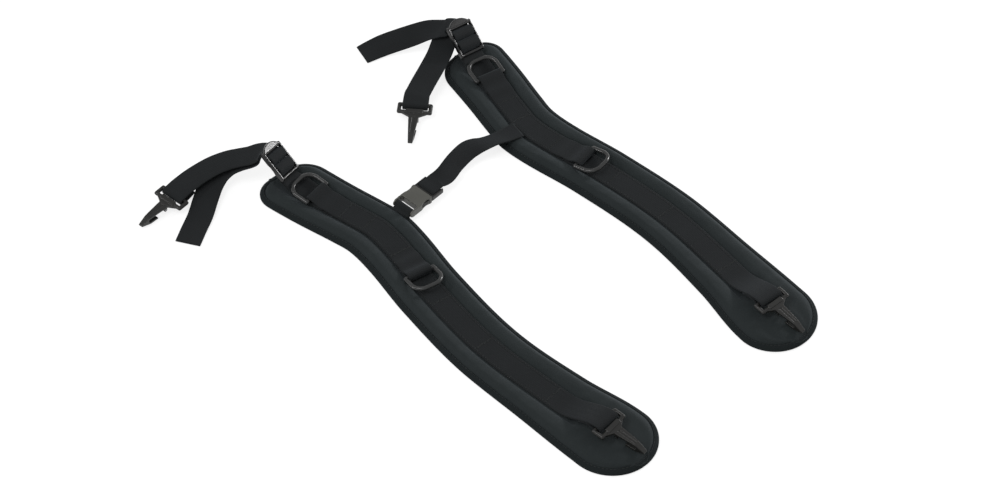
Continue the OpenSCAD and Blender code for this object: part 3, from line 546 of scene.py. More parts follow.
def spine_line(side):
    line = []
    for t in (1, 0.74, 0.48, 0.26, 0.13):
        s = LOOP_S + HOOK_FOLD * t
        line.append((s, spine_low(s) - mix(2 * HOOK_WRAP_R, FOLD, ease(t / 0.57))))
    for a in range(180, -1, -15):
        t = math.radians(a)
        line.append((LOOP_S - HOOK_WRAP_R * math.sin(t), HOOK_BAR_Z + HOOK_WRAP_R * math.cos(t)))
    roll = side * LOCK_ROLL[side]
    rise_from = rising(0.0, roll, 0.0)[0]
    line += [(s, spine_low(s)) for s in [mix(LOOP_S, LIFT_FROM, k / 10) for k in range(1, 11)]]
    line += [(mix(LIFT_FROM, rise_from, k / 40), SPINE_Z) for k in range(1, 41)]
    line = [(s, z, 0.0, 0.0) for s, z in line]
    line += [rising(k / 7, roll, 0.0) for k in range(1, 7)]
    line += [on_lock(p, roll) for p in ANCHOR_LINE]
    return line + [rising(1 - LOCK_FOLD * t / RISE_LEN, roll, FOLD) for t in (0.35, 0.7, 1)]


def strap_end(s, way):
    line = [(s + way * TAIL, STRAP_Z), (s + way * 8, STRAP_Z)]
    for a in range(180, -1, -15):
        t = math.radians(a)
        line.append((s - way * RING_WRAP_R * math.sin(t), RING_Z + RING_WRAP_R * math.cos(t)))
    line += [(s + way * d, mix(RING_Z + RING_WRAP_R, STRAP_Z + FOLD, ease(d / 12.0))) for d in (4, 8, 12)]
    line.append((s + way * (TAIL + 2), STRAP_Z + FOLD))
    line += [(s + way * (TAIL + 2 + 4 * k), mix(STRAP_Z + FOLD, STRAP_Z, ease(k / 3))) for k in (1, 2, 3)]
    return line


STRAP_FROM = LOWER_RING_S + TAIL + 14.0
STRAP_TO = UPPER_RING_S - TAIL - 14.0


def strap_line():
    middle = [(mix(STRAP_FROM, STRAP_TO, k / 12), STRAP_Z) for k in range(1, 12)]
    line = strap_end(LOWER_RING_S, 1) + middle + list(reversed(strap_end(UPPER_RING_S, -1)))
    return [(s, z, 0.0, 0.0) for s, z in line]


def folded_strip(name, side, line):
    """Webbing sewn along a pad, with its ends folded back."""
    tilt, turn = math.sin(LOCK_TILT), lean(LOCK_S)
    rise = Vector((-side * tilt * math.sin(turn), -tilt * math.cos(turn), math.cos(LOCK_TILT)))
    points, across = [], []
    for s, z, shift, roll in line:
        outward = Vector((side * math.cos(lean(s)), -math.sin(lean(s)), 0))
        points.append(pad_to_pair(side, Vector((centre(s), s, z))) + shift * outward)
        across.append(side * (math.cos(roll) * outward - math.sin(roll) * rise))
    return smooth_strip(name, points, across)


def seam_places(side, s0, s1, offset, z):
    """Stitches beside the webbing's edge, from one place along the pad to another."""
    n = int((s1 - s0) / 4)
    line = []
    for k in range(n + 1):
        s = mix(s0, s1, k / n)
        x, y = centre(s) + offset * math.cos(lean(s)), s - offset * math.sin(lean(s))
        line.append(pad_to_pair(side, Vector((x, y, z))))
    return [(p, d, UP) for p, d in spaced(line, SEAM_PITCH)]


def make_seams(label, side):
    places = []
    top = WEB_T / 2 + THREAD_RISE
    for offset in (-WEB_W / 2 + SEAM_IN, WEB_W / 2 - SEAM_IN):
        places += seam_places(side, LIFT_FROM + 8, LOWER_RING_S - 6, offset, SPINE_Z + top)
        places += seam_places(side, STRAP_FROM + 2, STRAP_TO - 2, offset, STRAP_Z + top)
    return stitch_row(label + "_seams", places)


STRAP_TACKS = [LOWER_RING_S + TAIL + 18, CHEST_S, UPPER_RING_S - TAIL - 18]
SPINE_TACKS = [LIFT_FROM + 14, mix(LIFT_FROM, LOWER_RING_S, 0.5), LOWER_RING_S - 36]


def make_tacks(label, side):
    """Rows of close zigzag stitching across the webbing."""
    places = []
    for tacks, z in ((STRAP_TACKS, STRAP_Z), (SPINE_TACKS, SPINE_Z)):
        for s in tacks:
            a = lean(s)
            across = Vector((side * math.cos(a), -math.sin(a), 0))
            along = Vector((side * math.sin(a), math.cos(a), 0))
            mid = pad_to_pair(side, Vector((centre(s), s, z + WEB_T / 2 + 0.06)))
            for k in range(TACK_STITCHES):
                way = TACK_SLANT if k % 2 else -TACK_SLANT
                d = (along + across * way).normalized()
                out = mix(-TACK_HALF, TACK_HALF, k / (TACK_STITCHES - 1))
                places.append((mid + across * out, d, UP))
    return stitch_row(label + "_tacks", places, r=0.2)


# Adjuster webbing through the ladder locks
LOCK_WRAP_R = 1.8 + WEB_GAP + WEB_T / 2
UPPER_LEG = -LOCK_WRAP_R - 0.05
LOWER_LEG = UPPER_LEG - WEB_T - 0.2
GRIP_TOP = LOCK_WRAP_R + 0.2
LOCK_LINE = [(HEAD_Y + 2, LOWER_LEG), (HEAD_Y, LOWER_LEG), (BAR_STEP + 2, LOWER_LEG),
             (BAR_STEP - 2.5, LOWER_LEG + 0.1), (BAR_STEP - 4.8, LOWER_LEG + 0.8), (BAR_STEP - 6, -2.3),
             (BAR_STEP - 4.9, 0.2), (BAR_STEP - 3.7, GRIP_TOP - 0.9), (BAR_STEP - 1.7, GRIP_TOP),
             (BAR_STEP + 1.2, GRIP_TOP), (BAR_STEP + 3.3, GRIP_TOP - 1.3), (BAR_STEP + 4.2, -0.5),
             (BAR_STEP + 5.2, -2.2),
             (HEAD_Y, UPPER_LEG), (HEAD_Y + 2, UPPER_LEG)]

# Routes of the free legs, set out from each lock's anchor bar, with heights above the table
HOOK_ROUTE = {
    -1: [(-7, 24, 30), (-16, 30, 25.5), (-25, 38.5, 21.5), (-34, 45, 19), (-48, 50.5, 16.5),
         (-67, 53.5, 13.5)],
    1: [(-2, 22.5, 27.5), (-10, 22, 22), (-17, 18.5, 18.2), (-28, 12, 16.5), (-44, 4.5, 14.7),
        (-62, -3.5, 13)],
}
TAIL_ROUTE = {
    -1: [(-7, 23, 27.5), (-16, 29, 21.8), (-25, 36.5, 17.3), (-35, 42, 13.8), (-47, 43, 10.8),
         (-60, 38.5, 8), (-74, 29.5, 5.4), (-89.5, 18.5, 3), (-105, 9.5, 1.7), (-119.5, 0.5, 1.1)],
    1: [(-1, 24.5, 30), (-5.5, 28, 27.5), (-10, 34.5, 24), (-16.5, 43.5, 19.5), (-28, 53.5, 13),
        (-48, 66, 6.2), (-60, 71, 3.5), (-74.5, 75, 1.2)],
}
RIGHT_TAIL_ROLL = -16.0
TAIL_ROLL_FROM = 0.3
# Place of each upper hook's bar, set out in the same way, and its turn
UPPER_HOOK = {-1: ((-93.5, 51.5, 8.5), math.radians(97)), 1: ((-85.5, -18, 8.5), math.radians(132))}
UPPER_SLACK = 1.5


def beside_lock(side, p):
    return Vector((side * centre(LOCK_S) + p[0], LOCK_S + ahead_by(side) + p[1], p[2]))


def lock_frame(side):
    """Directions along a lock, up from it and across it."""
    turn, roll = lean(LOCK_S), LOCK_ROLL[side]
    ahead = Vector((side * math.sin(turn), math.cos(turn), 0))
    level = Vector((math.cos(turn), -side * math.sin(turn), 0))
    rise = math.cos(LOCK_TILT) * UP - math.sin(LOCK_TILT) * ahead
    return (math.cos(LOCK_TILT) * ahead + math.sin(LOCK_TILT) * UP,
            math.cos(roll) * rise + math.sin(roll) * level,
            math.cos(roll) * level - math.sin(roll) * rise)


def lock_place(side, p):
    along, rise = lock_frame(side)[:2]
    return pad_to_pair(side, Vector((centre(LOCK_S), LOCK_S, LOCK_BAR_Z))) + p[0] * along + p[1] * rise


def level_across(points):
    """Level directions across a route."""
    runs = [run_at(points, i) for i in range(len(points))]
    return [Vector((d.y, -d.x, 0)).normalized() for d in runs]


def rolled(points, across, rolls):
    """Directions across a strap turned about its run, the near edge going down."""
    out = []
    for i, roll in enumerate(rolls):
        turn = math.radians(roll)
        rise = across[i].cross(run_at(points, i)).normalized()
        out.append(across[i] * math.cos(turn) - rise * math.sin(turn))
    return out


def right_tail_roll(t):
    """Roll of the right tail: none beside the lock, most at its middle, none at its end."""
    return RIGHT_TAIL_ROLL * math.sin(math.pi * max(0.0, (t - TAIL_ROLL_FROM) / (1 - TAIL_ROLL_FROM)))


def hook_wrap(bar, turn):
    """Loop round an upper hook's bar, leaving on the upper side and tucked back below."""
    h = Vector((-math.sin(turn), math.cos(turn), 0))
    wrap = [bar - 9 * h + (WRAP_R + 1) * UP]
    for a in range(-10, 171, 20):
        t = math.radians(a)
        wrap.append(bar + UPPER_SLACK * h + WRAP_R * (math.sin(t) * h + math.cos(t) * UP))
    tuck = ((4, 0.4), (9, 1.6), (15, 3.2))
    return wrap + [bar - back * h - (WRAP_R - rise) * UP for back, rise in tuck]


def make_adjuster(label, side):
    place, turn = UPPER_HOOK[side]
    wrap = hook_wrap(beside_lock(side, place), turn)
    lock_side = lock_frame(side)[2]
    hook_side = Vector((math.cos(turn), math.sin(turn), 0))

    def leg(start, route):
        path = smooth_path([lock_place(side, start)] + route, PATH_STEPS)[1:]
        level = level_across(path)
        across = [lock_side.lerp(level[i], ease((i + 1) / 6)).normalized() for i in range(len(path))]
        return path, across

    first, last = LOCK_LINE[0], LOCK_LINE[-1]
    hook_route = [beside_lock(side, p) for p in HOOK_ROUTE[side]] + wrap[:1]
    hook_leg, hook_across = leg(last if side < 0 else first, hook_route)
    hook_leg, hook_across = hook_leg + wrap[1:], hook_across + [hook_side] * (len(wrap) - 1)
    tail_route = [beside_lock(side, p) for p in TAIL_ROUTE[side]]
    tail_leg, tail_across = leg(first if side < 0 else last, tail_route)
    if side > 0:
        n = len(tail_leg)
        tail_across = rolled(tail_leg, tail_across, [right_tail_roll((i + 1) / n) for i in range(n)])
    locked = [lock_place(side, p) for p in LOCK_LINE]
    start, start_across = (tail_leg, tail_across) if side < 0 else (hook_leg, hook_across)
    end, end_across = (hook_leg, hook_across) if side < 0 else (tail_leg, tail_across)
    points = list(reversed(start)) + locked + end
    across = list(reversed(start_across)) + [lock_side] * len(locked) + end_across
    return smooth_strip(label + "_adjuster", points, across)


# Sternum strap
BUCKLE_TURN = math.radians(5.0)
PAD_EDGE_X = centre(CHEST_S) - half(CHEST_S)
BUCKLE_Z = 9.45
BUCKLE_START = Vector((-PAD_EDGE_X + 3.2, CHEST_S - 8.8, BUCKLE_Z))
BUCKLE_ALONG = Vector((math.cos(BUCKLE_TURN), math.sin(BUCKLE_TURN), 0))
BUCKLE_ACROSS = Vector((math.sin(BUCKLE_TURN), -math.cos(BUCKLE_TURN), 0))
BUCKLE_WRAP_R = 1.6 + WEB_GAP + WEB_T / 2
PLUG_BARS = (31.0, 39.0)
CHEST_LAY_Z = CROWN_T + 0.2 + WEB_T / 2
# Places of the sternum webbing, each with its roll in degrees, the near edge going down
CHEST_ROUTE = [(-8, CHEST_S - 5.6, 13.2, 20), (9, CHEST_S - 0.3, 13.8, 32), (26.5, CHEST_S + 3.1, 14, 24),
               (37.5, CHEST_S + 2.5, 13.6, 8), (47, CHEST_S + 0.2, 12.8, -8),
               (PAD_EDGE_X - 6.6, CHEST_S - 2.3, 12, -14),
               (PAD_EDGE_X + 6, CHEST_S - 4.8, CHEST_LAY_Z + 0.6, -6),
               (PAD_EDGE_X + 20, CHEST_S - 7.2, CHEST_LAY_Z, 0)]


def buckle_place(x, z):
    return BUCKLE_START + x * BUCKLE_ALONG + z * UP


def make_tab():
    skew = math.tan(lean(CHEST_S) - BUCKLE_TURN)
    end, low, high = -7.1, -3.65, -2.2
    line = [(end, high), (end + 2.8, high + 0.9)]
    line += [(BUCKLE_WRAP_R * math.sin(math.radians(a)), BUCKLE_WRAP_R * math.cos(math.radians(a)))
             for a in range(-60, 241, 15)]
    line += [(end + 3.2, low + 0.45), (end, low)]
    points = [buckle_place(x, z) for x, z in line]
    across = [BUCKLE_ACROSS + BUCKLE_ALONG * skew if x < end + 1 else BUCKLE_ACROSS for x, z in line]
    return webbing_strip("buckle_loop", points, across, CHEST_W, pitch=0.8)


def make_sternum():
    line = [(PLUG_BARS[1] + 2, -BUCKLE_WRAP_R), (PLUG_BARS[1] - 3, -BUCKLE_WRAP_R)]
    for a in range(180, 361, 15):
        t = math.radians(a)
        line.append((PLUG_BARS[0] + BUCKLE_WRAP_R * math.sin(t), BUCKLE_WRAP_R * math.cos(t)))
    line += [(PLUG_BARS[0] + 4, BUCKLE_WRAP_R), (PLUG_BARS[1], BUCKLE_WRAP_R),
             (PLUG_BARS[1] + 5, BUCKLE_WRAP_R + 0.6)]
    held = [buckle_place(x, z) for x, z in line]
    path = smooth_path([(*held[-1], 0)] + CHEST_ROUTE, 6)[1:]
    free = [p.to_3d() for p in path]
    across = [BUCKLE_ACROSS] * len(held) + rolled(free, level_across(free), [p[3] for p in path])
    return webbing_strip("sternum_strap", held + free, across, CHEST_W)


# Moulded hardware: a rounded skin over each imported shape
def moulded(name, node, grain, softening=5):
    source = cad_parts[node]
    mesh = source.data.copy()
    mesh.materials.clear()
    piece = placed(name, mesh)
    skin = piece.modifiers.new("skin", "REMESH")
    skin.mode = "VOXEL"
    skin.voxel_size = grain * MM
    soften = piece.modifiers.new("soften", "SMOOTH")
    soften.factor = 0.5
    soften.iterations = softening
    bpy.context.view_layer.update()
    skinned = piece.evaluated_get(bpy.context.evaluated_depsgraph_get())
    shape = bpy.data.meshes.new_from_object(skinned)
    piece.modifiers.clear()
    piece.data = shape
    shape.name = name
    shape.polygons.foreach_set("use_smooth", [True] * len(shape.polygons))
    return piece


LEAF_ROOT = 0.35


def make_leaf(name, spring, pin):
    """A gate's leaf spring, with a place part way out from its pin and its far end."""
    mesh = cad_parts[spring].data.copy()
    mesh.materials.clear()
    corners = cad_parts[pin].data.vertices
    pivot = sum((v.co for v in corners), Vector()) / len(corners)
    bm = bmesh.new()
    bm.from_mesh(mesh)
    bmesh.ops.remove_doubles(bm, verts=bm.verts, dist=0.001 * MM)
    bmesh.ops.subdivide_edges(bm, edges=bm.edges, cuts=5, use_grid_fill=True)
    places = sorted((v.co.copy() for v in bm.verts), key=lambda place: (place - pivot).length)
    bm.to_mesh(mesh)
    bm.free()
    return placed(name, mesh), places[0].lerp(places[-1], LEAF_ROOT), places[-1]


# Shared surface effects
def new_group(name, inputs, outputs):
    group = bpy.data.node_groups.new(name, "ShaderNodeTree")
    for label, kind, value in inputs:
        socket = group.interface.new_socket(label, in_out="INPUT", socket_type="NodeSocket" + kind)
        if value is not None:
            socket.default_value = value
    for label, kind in outputs:
        group.interface.new_socket(label, in_out="OUTPUT", socket_type="NodeSocket" + kind)
    return group, group.nodes.new("NodeGroupInput"), group.nodes.new("NodeGroupOutput")


def math_node(tree, operation, a, b=None):
    node = tree.nodes.new("ShaderNodeMath")
    node.operation = operation
    for socket, value in zip(node.inputs, (a, b)):
        if value is None:
            continue
        if hasattr(value, "default_value"):
            tree.links.new(value, socket)
        else:
            socket.default_value = value
    return node.outputs[0]


def plain_weave_group():
    """Over-and-under threads: height and a thread mask."""
    g, i, o = new_group("plain weave", [("Place", "Vector", None), ("Pitch", "Float", 1.0)],
                        [("Height", "Float"), ("Thread", "Float")])
    parts = g.nodes.new("ShaderNodeSeparateXYZ")
    g.links.new(i.outputs["Place"], parts.inputs[0])
    turn = math_node(g, "DIVIDE", math.pi, i.outputs["Pitch"])
    a = math_node(g, "SINE", math_node(g, "MULTIPLY", parts.outputs["X"], turn))
    b = math_node(g, "SINE", math_node(g, "MULTIPLY", parts.outputs["Y"], turn))
    cross = math_node(g, "MULTIPLY", a, b)
    g.links.new(math_node(g, "POWER", math_node(g, "ABSOLUTE", cross), 0.6), o.inputs["Height"])
    g.links.new(math_node(g, "ADD", math_node(g, "MULTIPLY", cross, 0.5), 0.5), o.inputs["Thread"])
    return g


CHEVRON = 3.1


def webbing_weave_group():
    """Herringbone ribs of heavy webbing: height and a thread mask."""
    g, i, o = new_group("webbing weave",
                        [("Place", "Vector", None), ("Slant", "Float", 2.2), ("Rib", "Float", 1.9)],
                        [("Height", "Float"), ("Thread", "Float")])
    parts = g.nodes.new("ShaderNodeSeparateXYZ")
    g.links.new(i.outputs["Place"], parts.inputs[0])
    zigzag = math_node(g, "PINGPONG", parts.outputs["Y"], CHEVRON)
    run = math_node(g, "ADD", parts.outputs["X"], zigzag)
    turn = math_node(g, "DIVIDE", 2 * math.pi, i.outputs["Slant"])
    slant = math_node(g, "SINE", math_node(g, "MULTIPLY", run, turn))
    rib_turn = math_node(g, "DIVIDE", 2 * math.pi, i.outputs["Rib"])
    rib = math_node(g, "COSINE", math_node(g, "MULTIPLY", parts.outputs["Y"], rib_turn))
    ribs = math_node(g, "MULTIPLY", rib, 0.18)
    height = math_node(g, "ADD", math_node(g, "MULTIPLY", slant, 0.32), ribs)
    g.links.new(math_node(g, "ADD", height, 0.5), o.inputs["Height"])
    g.links.new(math_node(g, "ADD", math_node(g, "MULTIPLY", slant, 0.5), 0.5), o.inputs["Thread"])
    return g


def mottle_group():
    """Slow and fine tone changes in used cloth or moulded plastic."""
    g, i, o = new_group("mottle",
                        [("Place", "Vector", None), ("Broad", "Float", 12.0), ("Fine", "Float", 400.0)],
                        [("Tone", "Float"), ("Grain", "Float")])
    for scale, out, detail in (("Broad", "Tone", 4.0), ("Fine", "Grain", 2.0)):
        n = g.nodes.new("ShaderNodeTexNoise")
        n.inputs["Detail"].default_value = detail
        g.links.new(i.outputs["Place"], n.inputs["Vector"])
        g.links.new(i.outputs[scale], n.inputs["Scale"])
        g.links.new(n.outputs["Fac"], o.inputs[out])
    return g


def rub_and_highlight_group():
    """Pale sharp edges on moulded pieces: partly wear, partly a painted highlight."""
    g, i, o = new_group("edge wear and painted highlight",
                        [("Place", "Vector", None), ("From", "Float", 0.53), ("To", "Float", 0.62)],
                        [("Wear and highlight", "Float")])
    # Sharp edges are lightened: wear, and a painted highlight along them.
    shape = g.nodes.new("ShaderNodeNewGeometry")
    ramp = g.nodes.new("ShaderNodeMapRange")
    g.links.new(shape.outputs["Pointiness"], ramp.inputs["Value"])
    g.links.new(i.outputs["From"], ramp.inputs["From Min"])
    g.links.new(i.outputs["To"], ramp.inputs["From Max"])
    patch = g.nodes.new("ShaderNodeTexNoise")
    patch.inputs["Scale"].default_value = 180.0
    g.links.new(i.outputs["Place"], patch.inputs["Vector"])
    g.links.new(math_node(g, "MULTIPLY", ramp.outputs["Result"], patch.outputs["Fac"]), o.inputs["Wear and highlight"])
    return g


PLAIN_WEAVE = plain_weave_group()
WEBBING_WEAVE = webbing_weave_group()
MOTTLE = mottle_group()
RUB_AND_HIGHLIGHT = rub_and_highlight_group()


# Finishes, with the depth of each grain
PLASTIC_GRAIN = 0.03
STEEL_GRAIN = 0.01
THREAD_GRAIN = 0.05


def new_finish(name, roughness, specular):
    material = bpy.data.materials.new(name)
    material.use_nodes = True
    tree = material.node_tree
    shader = tree.nodes["Principled BSDF"]
    shader.inputs["Roughness"].default_value = roughness
    shader.inputs["Specular IOR Level"].default_value = specular
    return material, tree, shader


def place_group(tree, group, place, **values):
    node = tree.nodes.new("ShaderNodeGroup")
    node.node_tree = group
    tree.links.new(place, node.inputs["Place"])
    for label, value in values.items():
        node.inputs[label].default_value = value
    return node


def tone_mix(tree, factor, dark, light):
    node = tree.nodes.new("ShaderNodeMix")
    node.data_type = "RGBA"
    node.inputs["A"].default_value = (*dark, 1)
    node.inputs["B"].default_value = (*light, 1)
    tree.links.new(factor, node.inputs["Factor"])
    return node.outputs["Result"]


def bump(tree, shader, height, depth):
    node = tree.nodes.new("ShaderNodeBump")
    node.inputs["Strength"].default_value = 1.0
    node.inputs["Distance"].default_value = depth * MM
    tree.links.new(height, node.inputs["Height"])
    tree.links.new(node.outputs["Normal"], shader.inputs["Normal"])


def cloth(name, weave, dark, light, roughness, depth, weave_values, sheen=0.25, specular=0.25):
    """Woven finish laid along the piece's own length and width."""
    material, tree, shader = new_finish(name, roughness, specular)
    lay = tree.nodes.new("ShaderNodeUVMap")
    lay.uv_map = "UVMap"
    place = lay.outputs["UV"]
    threads = place_group(tree, weave, place, **weave_values)
    tones = place_group(tree, MOTTLE, place, Broad=0.035, Fine=1.3)
    tone = math_node(tree, "ADD", math_node(tree, "MULTIPLY", tones.outputs["Tone"], 0.75),
                     math_node(tree, "MULTIPLY", threads.outputs["Thread"], 0.25))
    tree.links.new(tone_mix(tree, tone, dark, light), shader.inputs["Base Color"])
    fuzz = math_node(tree, "MULTIPLY", tones.outputs["Grain"], 0.35)
    bump(tree, shader, math_node(tree, "ADD", threads.outputs["Height"], fuzz), depth)
    shader.inputs["Sheen Weight"].default_value = sheen
    shader.inputs["Sheen Roughness"].default_value = 0.5
    shader.inputs["Sheen Tint"].default_value = (0.8, 0.9, 1.0, 1)
    return material


def plastic(name, dark, light, wear_and_highlight_tone, roughness, specular=0.5):
    """Moulded finish with a fine grain and pale sharp edges, partly wear and partly painted highlight."""
    material, tree, shader = new_finish(name, roughness, specular)
    place = tree.nodes.new("ShaderNodeTexCoord").outputs["Object"]
    tones = place_group(tree, MOTTLE, place, Broad=45.0, Fine=1500.0)
    wear_and_highlight = place_group(tree, RUB_AND_HIGHLIGHT, place)
    body = tone_mix(tree, tones.outputs["Tone"], dark, light)
    # Pale sharp edges mixed in: partly wear, partly painted highlight.
    edge = tree.nodes.new("ShaderNodeMix")
    edge.data_type = "RGBA"
    tree.links.new(wear_and_highlight.outputs["Wear and highlight"], edge.inputs["Factor"])
    tree.links.new(body, edge.inputs["A"])
    edge.inputs["B"].default_value = (*wear_and_highlight_tone, 1)
    tree.links.new(edge.outputs["Result"], shader.inputs["Base Color"])
    patches = math_node(tree, "MULTIPLY", tones.outputs["Tone"], 0.2)
    tree.links.new(math_node(tree, "ADD", patches, roughness - 0.1), shader.inputs["Roughness"])
    bump(tree, shader, tones.outputs["Grain"], PLASTIC_GRAIN)
    return material


def metal(name, dark, light):
    """Bare metal with faint drawn marks."""
    material, tree, shader = new_finish(name, 0.35, 0.5)
    place = tree.nodes.new("ShaderNodeTexCoord").outputs["Object"]
    tones = place_group(tree, MOTTLE, place, Broad=300.0, Fine=4000.0)
    tree.links.new(tone_mix(tree, tones.outputs["Tone"], dark, light), shader.inputs["Base Color"])
    bump(tree, shader, tones.outputs["Grain"], STEEL_GRAIN)
    shader.inputs["Metallic"].default_value = 1.0
    return material


def thread_finish():
    material, tree, shader = new_finish("sewing thread", 0.6, 0.35)
    place = tree.nodes.new("ShaderNodeTexCoord").outputs["Object"]
    tones = place_group(tree, MOTTLE, place, Broad=200.0, Fine=3000.0)
    tone = tone_mix(tree, tones.outputs["Tone"], (0.009, 0.0107, 0.0112), (0.016, 0.0186, 0.0194))
    tree.links.new(tone, shader.inputs["Base Color"])
    bump(tree, shader, tones.outputs["Grain"], THREAD_GRAIN)
    return material


# Each has a dark and a light tone. Plastics add that of their pale edges, partly wear and partly painted
# highlight, cloths the depth of their weave.
FINISH = {
    "face_fabric": cloth("face fabric", PLAIN_WEAVE, (0.012, 0.0156, 0.0162), (0.019, 0.0238, 0.0246),
                         0.85, 0.1, {"Pitch": 0.9}, sheen=0.1, specular=0.16),
    "lining": cloth("lining", PLAIN_WEAVE, (0.01, 0.011, 0.012), (0.02, 0.022, 0.023),
                    0.9, 0.35, {"Pitch": 2.0}),
    "binding": cloth("binding tape", PLAIN_WEAVE, (0.008, 0.0104, 0.011), (0.0125, 0.016, 0.0168),
                     0.85, 0.1, {"Pitch": 0.8}, sheen=0.05, specular=0.1),
    "webbing": cloth("webbing", WEBBING_WEAVE, (0.0065, 0.0073, 0.0078), (0.0125, 0.014, 0.0148),
                     0.75, 0.15, {}, sheen=0.07, specular=0.12),
    "ring_plastic": plastic("ring plastic", (0.014, 0.0145, 0.0145), (0.024, 0.025, 0.025),
                            (0.09, 0.09, 0.088), 0.28),
    "hook_plastic": plastic("hook plastic", (0.007, 0.007, 0.0064), (0.013, 0.013, 0.012),
                            (0.06, 0.06, 0.053), 0.38, specular=0.4),
    "lock_plastic": plastic("lock plastic", (0.003, 0.003, 0.0033), (0.006, 0.006, 0.0064),
                            (0.01, 0.01, 0.01), 0.2),
    "buckle_plastic": plastic("buckle plastic", (0.05, 0.05, 0.0435), (0.08, 0.08, 0.07),
                              (0.15, 0.15, 0.132), 0.38),
    "steel": metal("spring steel", (0.4, 0.4, 0.42), (0.6, 0.6, 0.62)),
    "thread": thread_finish(),
}
# A darker copy of the buckle plastic for the plug and its prongs: painted shade.
PLUG_SHADED_FINISH = plastic("plug plastic, painted shade", (0.006, 0.006, 0.0056), (0.011, 0.011, 0.0103),
                      (0.05, 0.05, 0.046), 0.34, specular=0.35)


def finished(piece, body, slot, *nodes, finish=None):
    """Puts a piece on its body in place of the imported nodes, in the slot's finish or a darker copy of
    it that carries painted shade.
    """
    piece.data.materials.clear()
    piece.data.materials.append(finish or FINISH[slot])
    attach(piece, body)
    if nodes:
        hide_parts(*nodes)


# Both straps
for label, side in SIDES.items():
    strap, lock = label + "_strap", label + "_lock"
    pad = make_pad(label, side)
    finished(pad, strap, "face_fabric", label + "_foam_core", label + "_face_cover")
    finished(make_lining(label, side), strap, "lining", label + "_back_cover")
    finished(make_binding(label, side), strap, "binding", label + "_edge_binding")
    finished(make_binding_stitches(label, side), strap, "thread")
    spine = folded_strip(label + "_spine", side, spine_line(side))
    finished(spine, strap, "webbing", label + "_spine_webbing")
    ring_band = folded_strip(label + "_ring_band", side, strap_line())
    finished(ring_band, strap, "webbing", label + "_ring_strap")
    finished(make_seams(label, side), strap, "thread")
    finished(make_tacks(label, side), strap, "thread", label + "_bartacks")
    finished(make_adjuster(label, side), lock, "webbing", label + "_adjuster_webbing")
    lock_body = moulded(label + "_lock_frame", label + "_ladder_lock", 0.45)
    finished(lock_body, lock, "lock_plastic", label + "_ladder_lock")
    for level in ("upper", "lower"):
        ring, hook, gate = f"{label}_{level}_ring", f"{label}_{level}_hook", f"{label}_{level}_gate"
        finished(moulded(ring + "_wire", ring, 0.4, softening=16), ring, "ring_plastic", ring)
        finished(moulded(hook + "_body", hook, 0.3), hook, "hook_plastic", hook)
        finished(moulded(gate + "_arm", gate, 0.25), gate, "hook_plastic", gate)
        pin, spring = gate + "_pin", gate + "_spring"
        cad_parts[pin].data.materials.clear()
        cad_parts[pin].data.materials.append(FINISH["steel"])
        leaf, root, tip = make_leaf(gate + "_leaf", spring, pin)
        leaf.data.materials.append(FINISH["steel"])
        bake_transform(leaf)
        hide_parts(spring)

# Sternum strap and buckle
finished(make_tab(), "left_strap", "webbing", "buckle_tab")
finished(make_sternum(), "right_strap", "webbing", "sternum_webbing")
finished(moulded("socket_shell", "buckle_socket", 0.4), "left_strap", "buckle_plastic", "buckle_socket")
# The plug and its prongs take the darker copy of the buckle plastic, which is painted shade.
plug = moulded("plug_frame", "buckle_plug", 0.4)
finished(plug, "right_strap", "buckle_plastic", "buckle_plug", finish=PLUG_SHADED_FINISH)
for arm in ("front_prong", "rear_prong"):
    finished(moulded(arm + "_arm", arm, 0.3), arm, "buckle_plastic", arm, finish=PLUG_SHADED_FINISH)


# Floor and light, in metres and watts
FLOOR_HALF = 6.0
FLOOR_Z = -0.0005


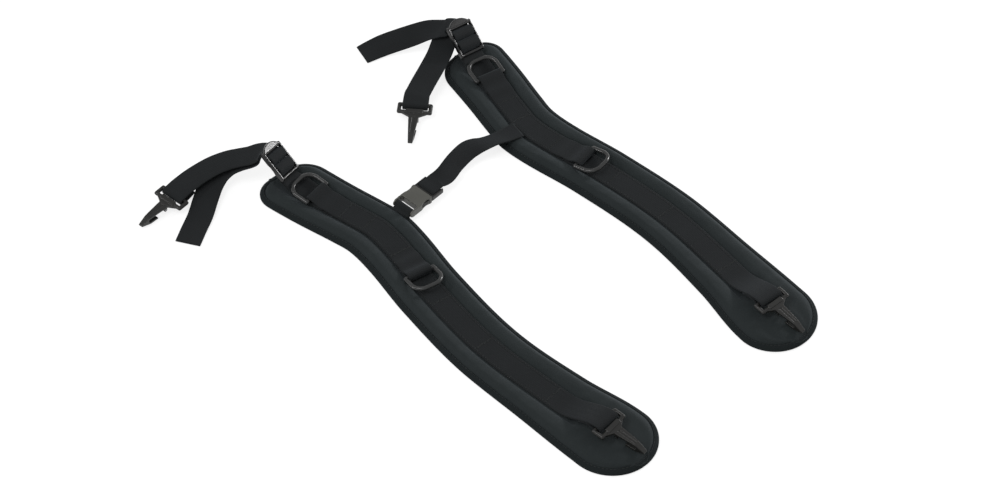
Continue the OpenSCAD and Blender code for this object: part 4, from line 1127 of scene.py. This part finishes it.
def make_floor():
    mesh = bpy.data.meshes.new("floor")
    r, z = FLOOR_HALF, FLOOR_Z
    mesh.from_pydata([(-r, -r, z), (r, -r, z), (r, r, z), (-r, r, z)], [], [(0, 1, 2, 3)])
    placed("floor", mesh)
    material = bpy.data.materials.new("pale floor")
    material.use_nodes = True
    tree = material.node_tree
    tree.nodes.clear()
    out = tree.nodes.new("ShaderNodeOutputMaterial")
    lit = tree.nodes.new("ShaderNodeBsdfDiffuse")
    lit.inputs["Color"].default_value = (0.4, 0.4, 0.4, 1)
    seen = tree.nodes.new("ShaderNodeBsdfDiffuse")
    seen.inputs["Color"].default_value = (0.3, 0.3, 0.3, 1)
    glow = tree.nodes.new("ShaderNodeEmission")
    glow.inputs["Strength"].default_value = 0.78
    both = tree.nodes.new("ShaderNodeAddShader")
    tree.links.new(seen.outputs[0], both.inputs[0])
    tree.links.new(glow.outputs[0], both.inputs[1])
    path = tree.nodes.new("ShaderNodeLightPath")
    near = math_node(tree, "MAXIMUM", path.outputs["Is Camera Ray"], path.outputs["Is Glossy Ray"])
    looked_at = math_node(tree, "MAXIMUM", near, path.outputs["Is Transmission Ray"])
    choose = tree.nodes.new("ShaderNodeMixShader")
    tree.links.new(looked_at, choose.inputs[0])
    tree.links.new(lit.outputs[0], choose.inputs[1])
    tree.links.new(both.outputs[0], choose.inputs[2])
    tree.links.new(choose.outputs[0], out.inputs["Surface"])
    mesh.materials.append(material)


def softbox(name, place, aim, size, power):
    data = bpy.data.lights.new(name, "AREA")
    data.shape = "RECTANGLE"
    data.size, data.size_y = size
    data.energy = power
    light = placed(name, data)
    light.location = place
    light.rotation_euler = (Vector(place) - Vector(aim)).to_track_quat("Z", "Y").to_euler()


make_floor()
softbox("top light", (-1.2, 0.2, 2.2), (0, 0, 0), (1.2, 1.2), 20.0)
softbox("front light", (-1.6, -1.8, 1.4), (0, 0, 0), (1.6, 1.2), 3.0)
softbox("left strip", (-1.5, 1.0, 0.9), (0, 0.1, 0), (0.2, 0.2), 6.0)
softbox("right strip", (1.32, -0.16, 0.48), (0, 0, 0), (0.25, 0.25), 8.0)
world = bpy.data.worlds.new("studio")
world.use_nodes = True
world.node_tree.nodes["Background"].inputs["Color"].default_value = (1, 1, 1, 1)
world.node_tree.nodes["Background"].inputs["Strength"].default_value = 0.6
scene.world = world
scene.view_settings.view_transform = "Standard"
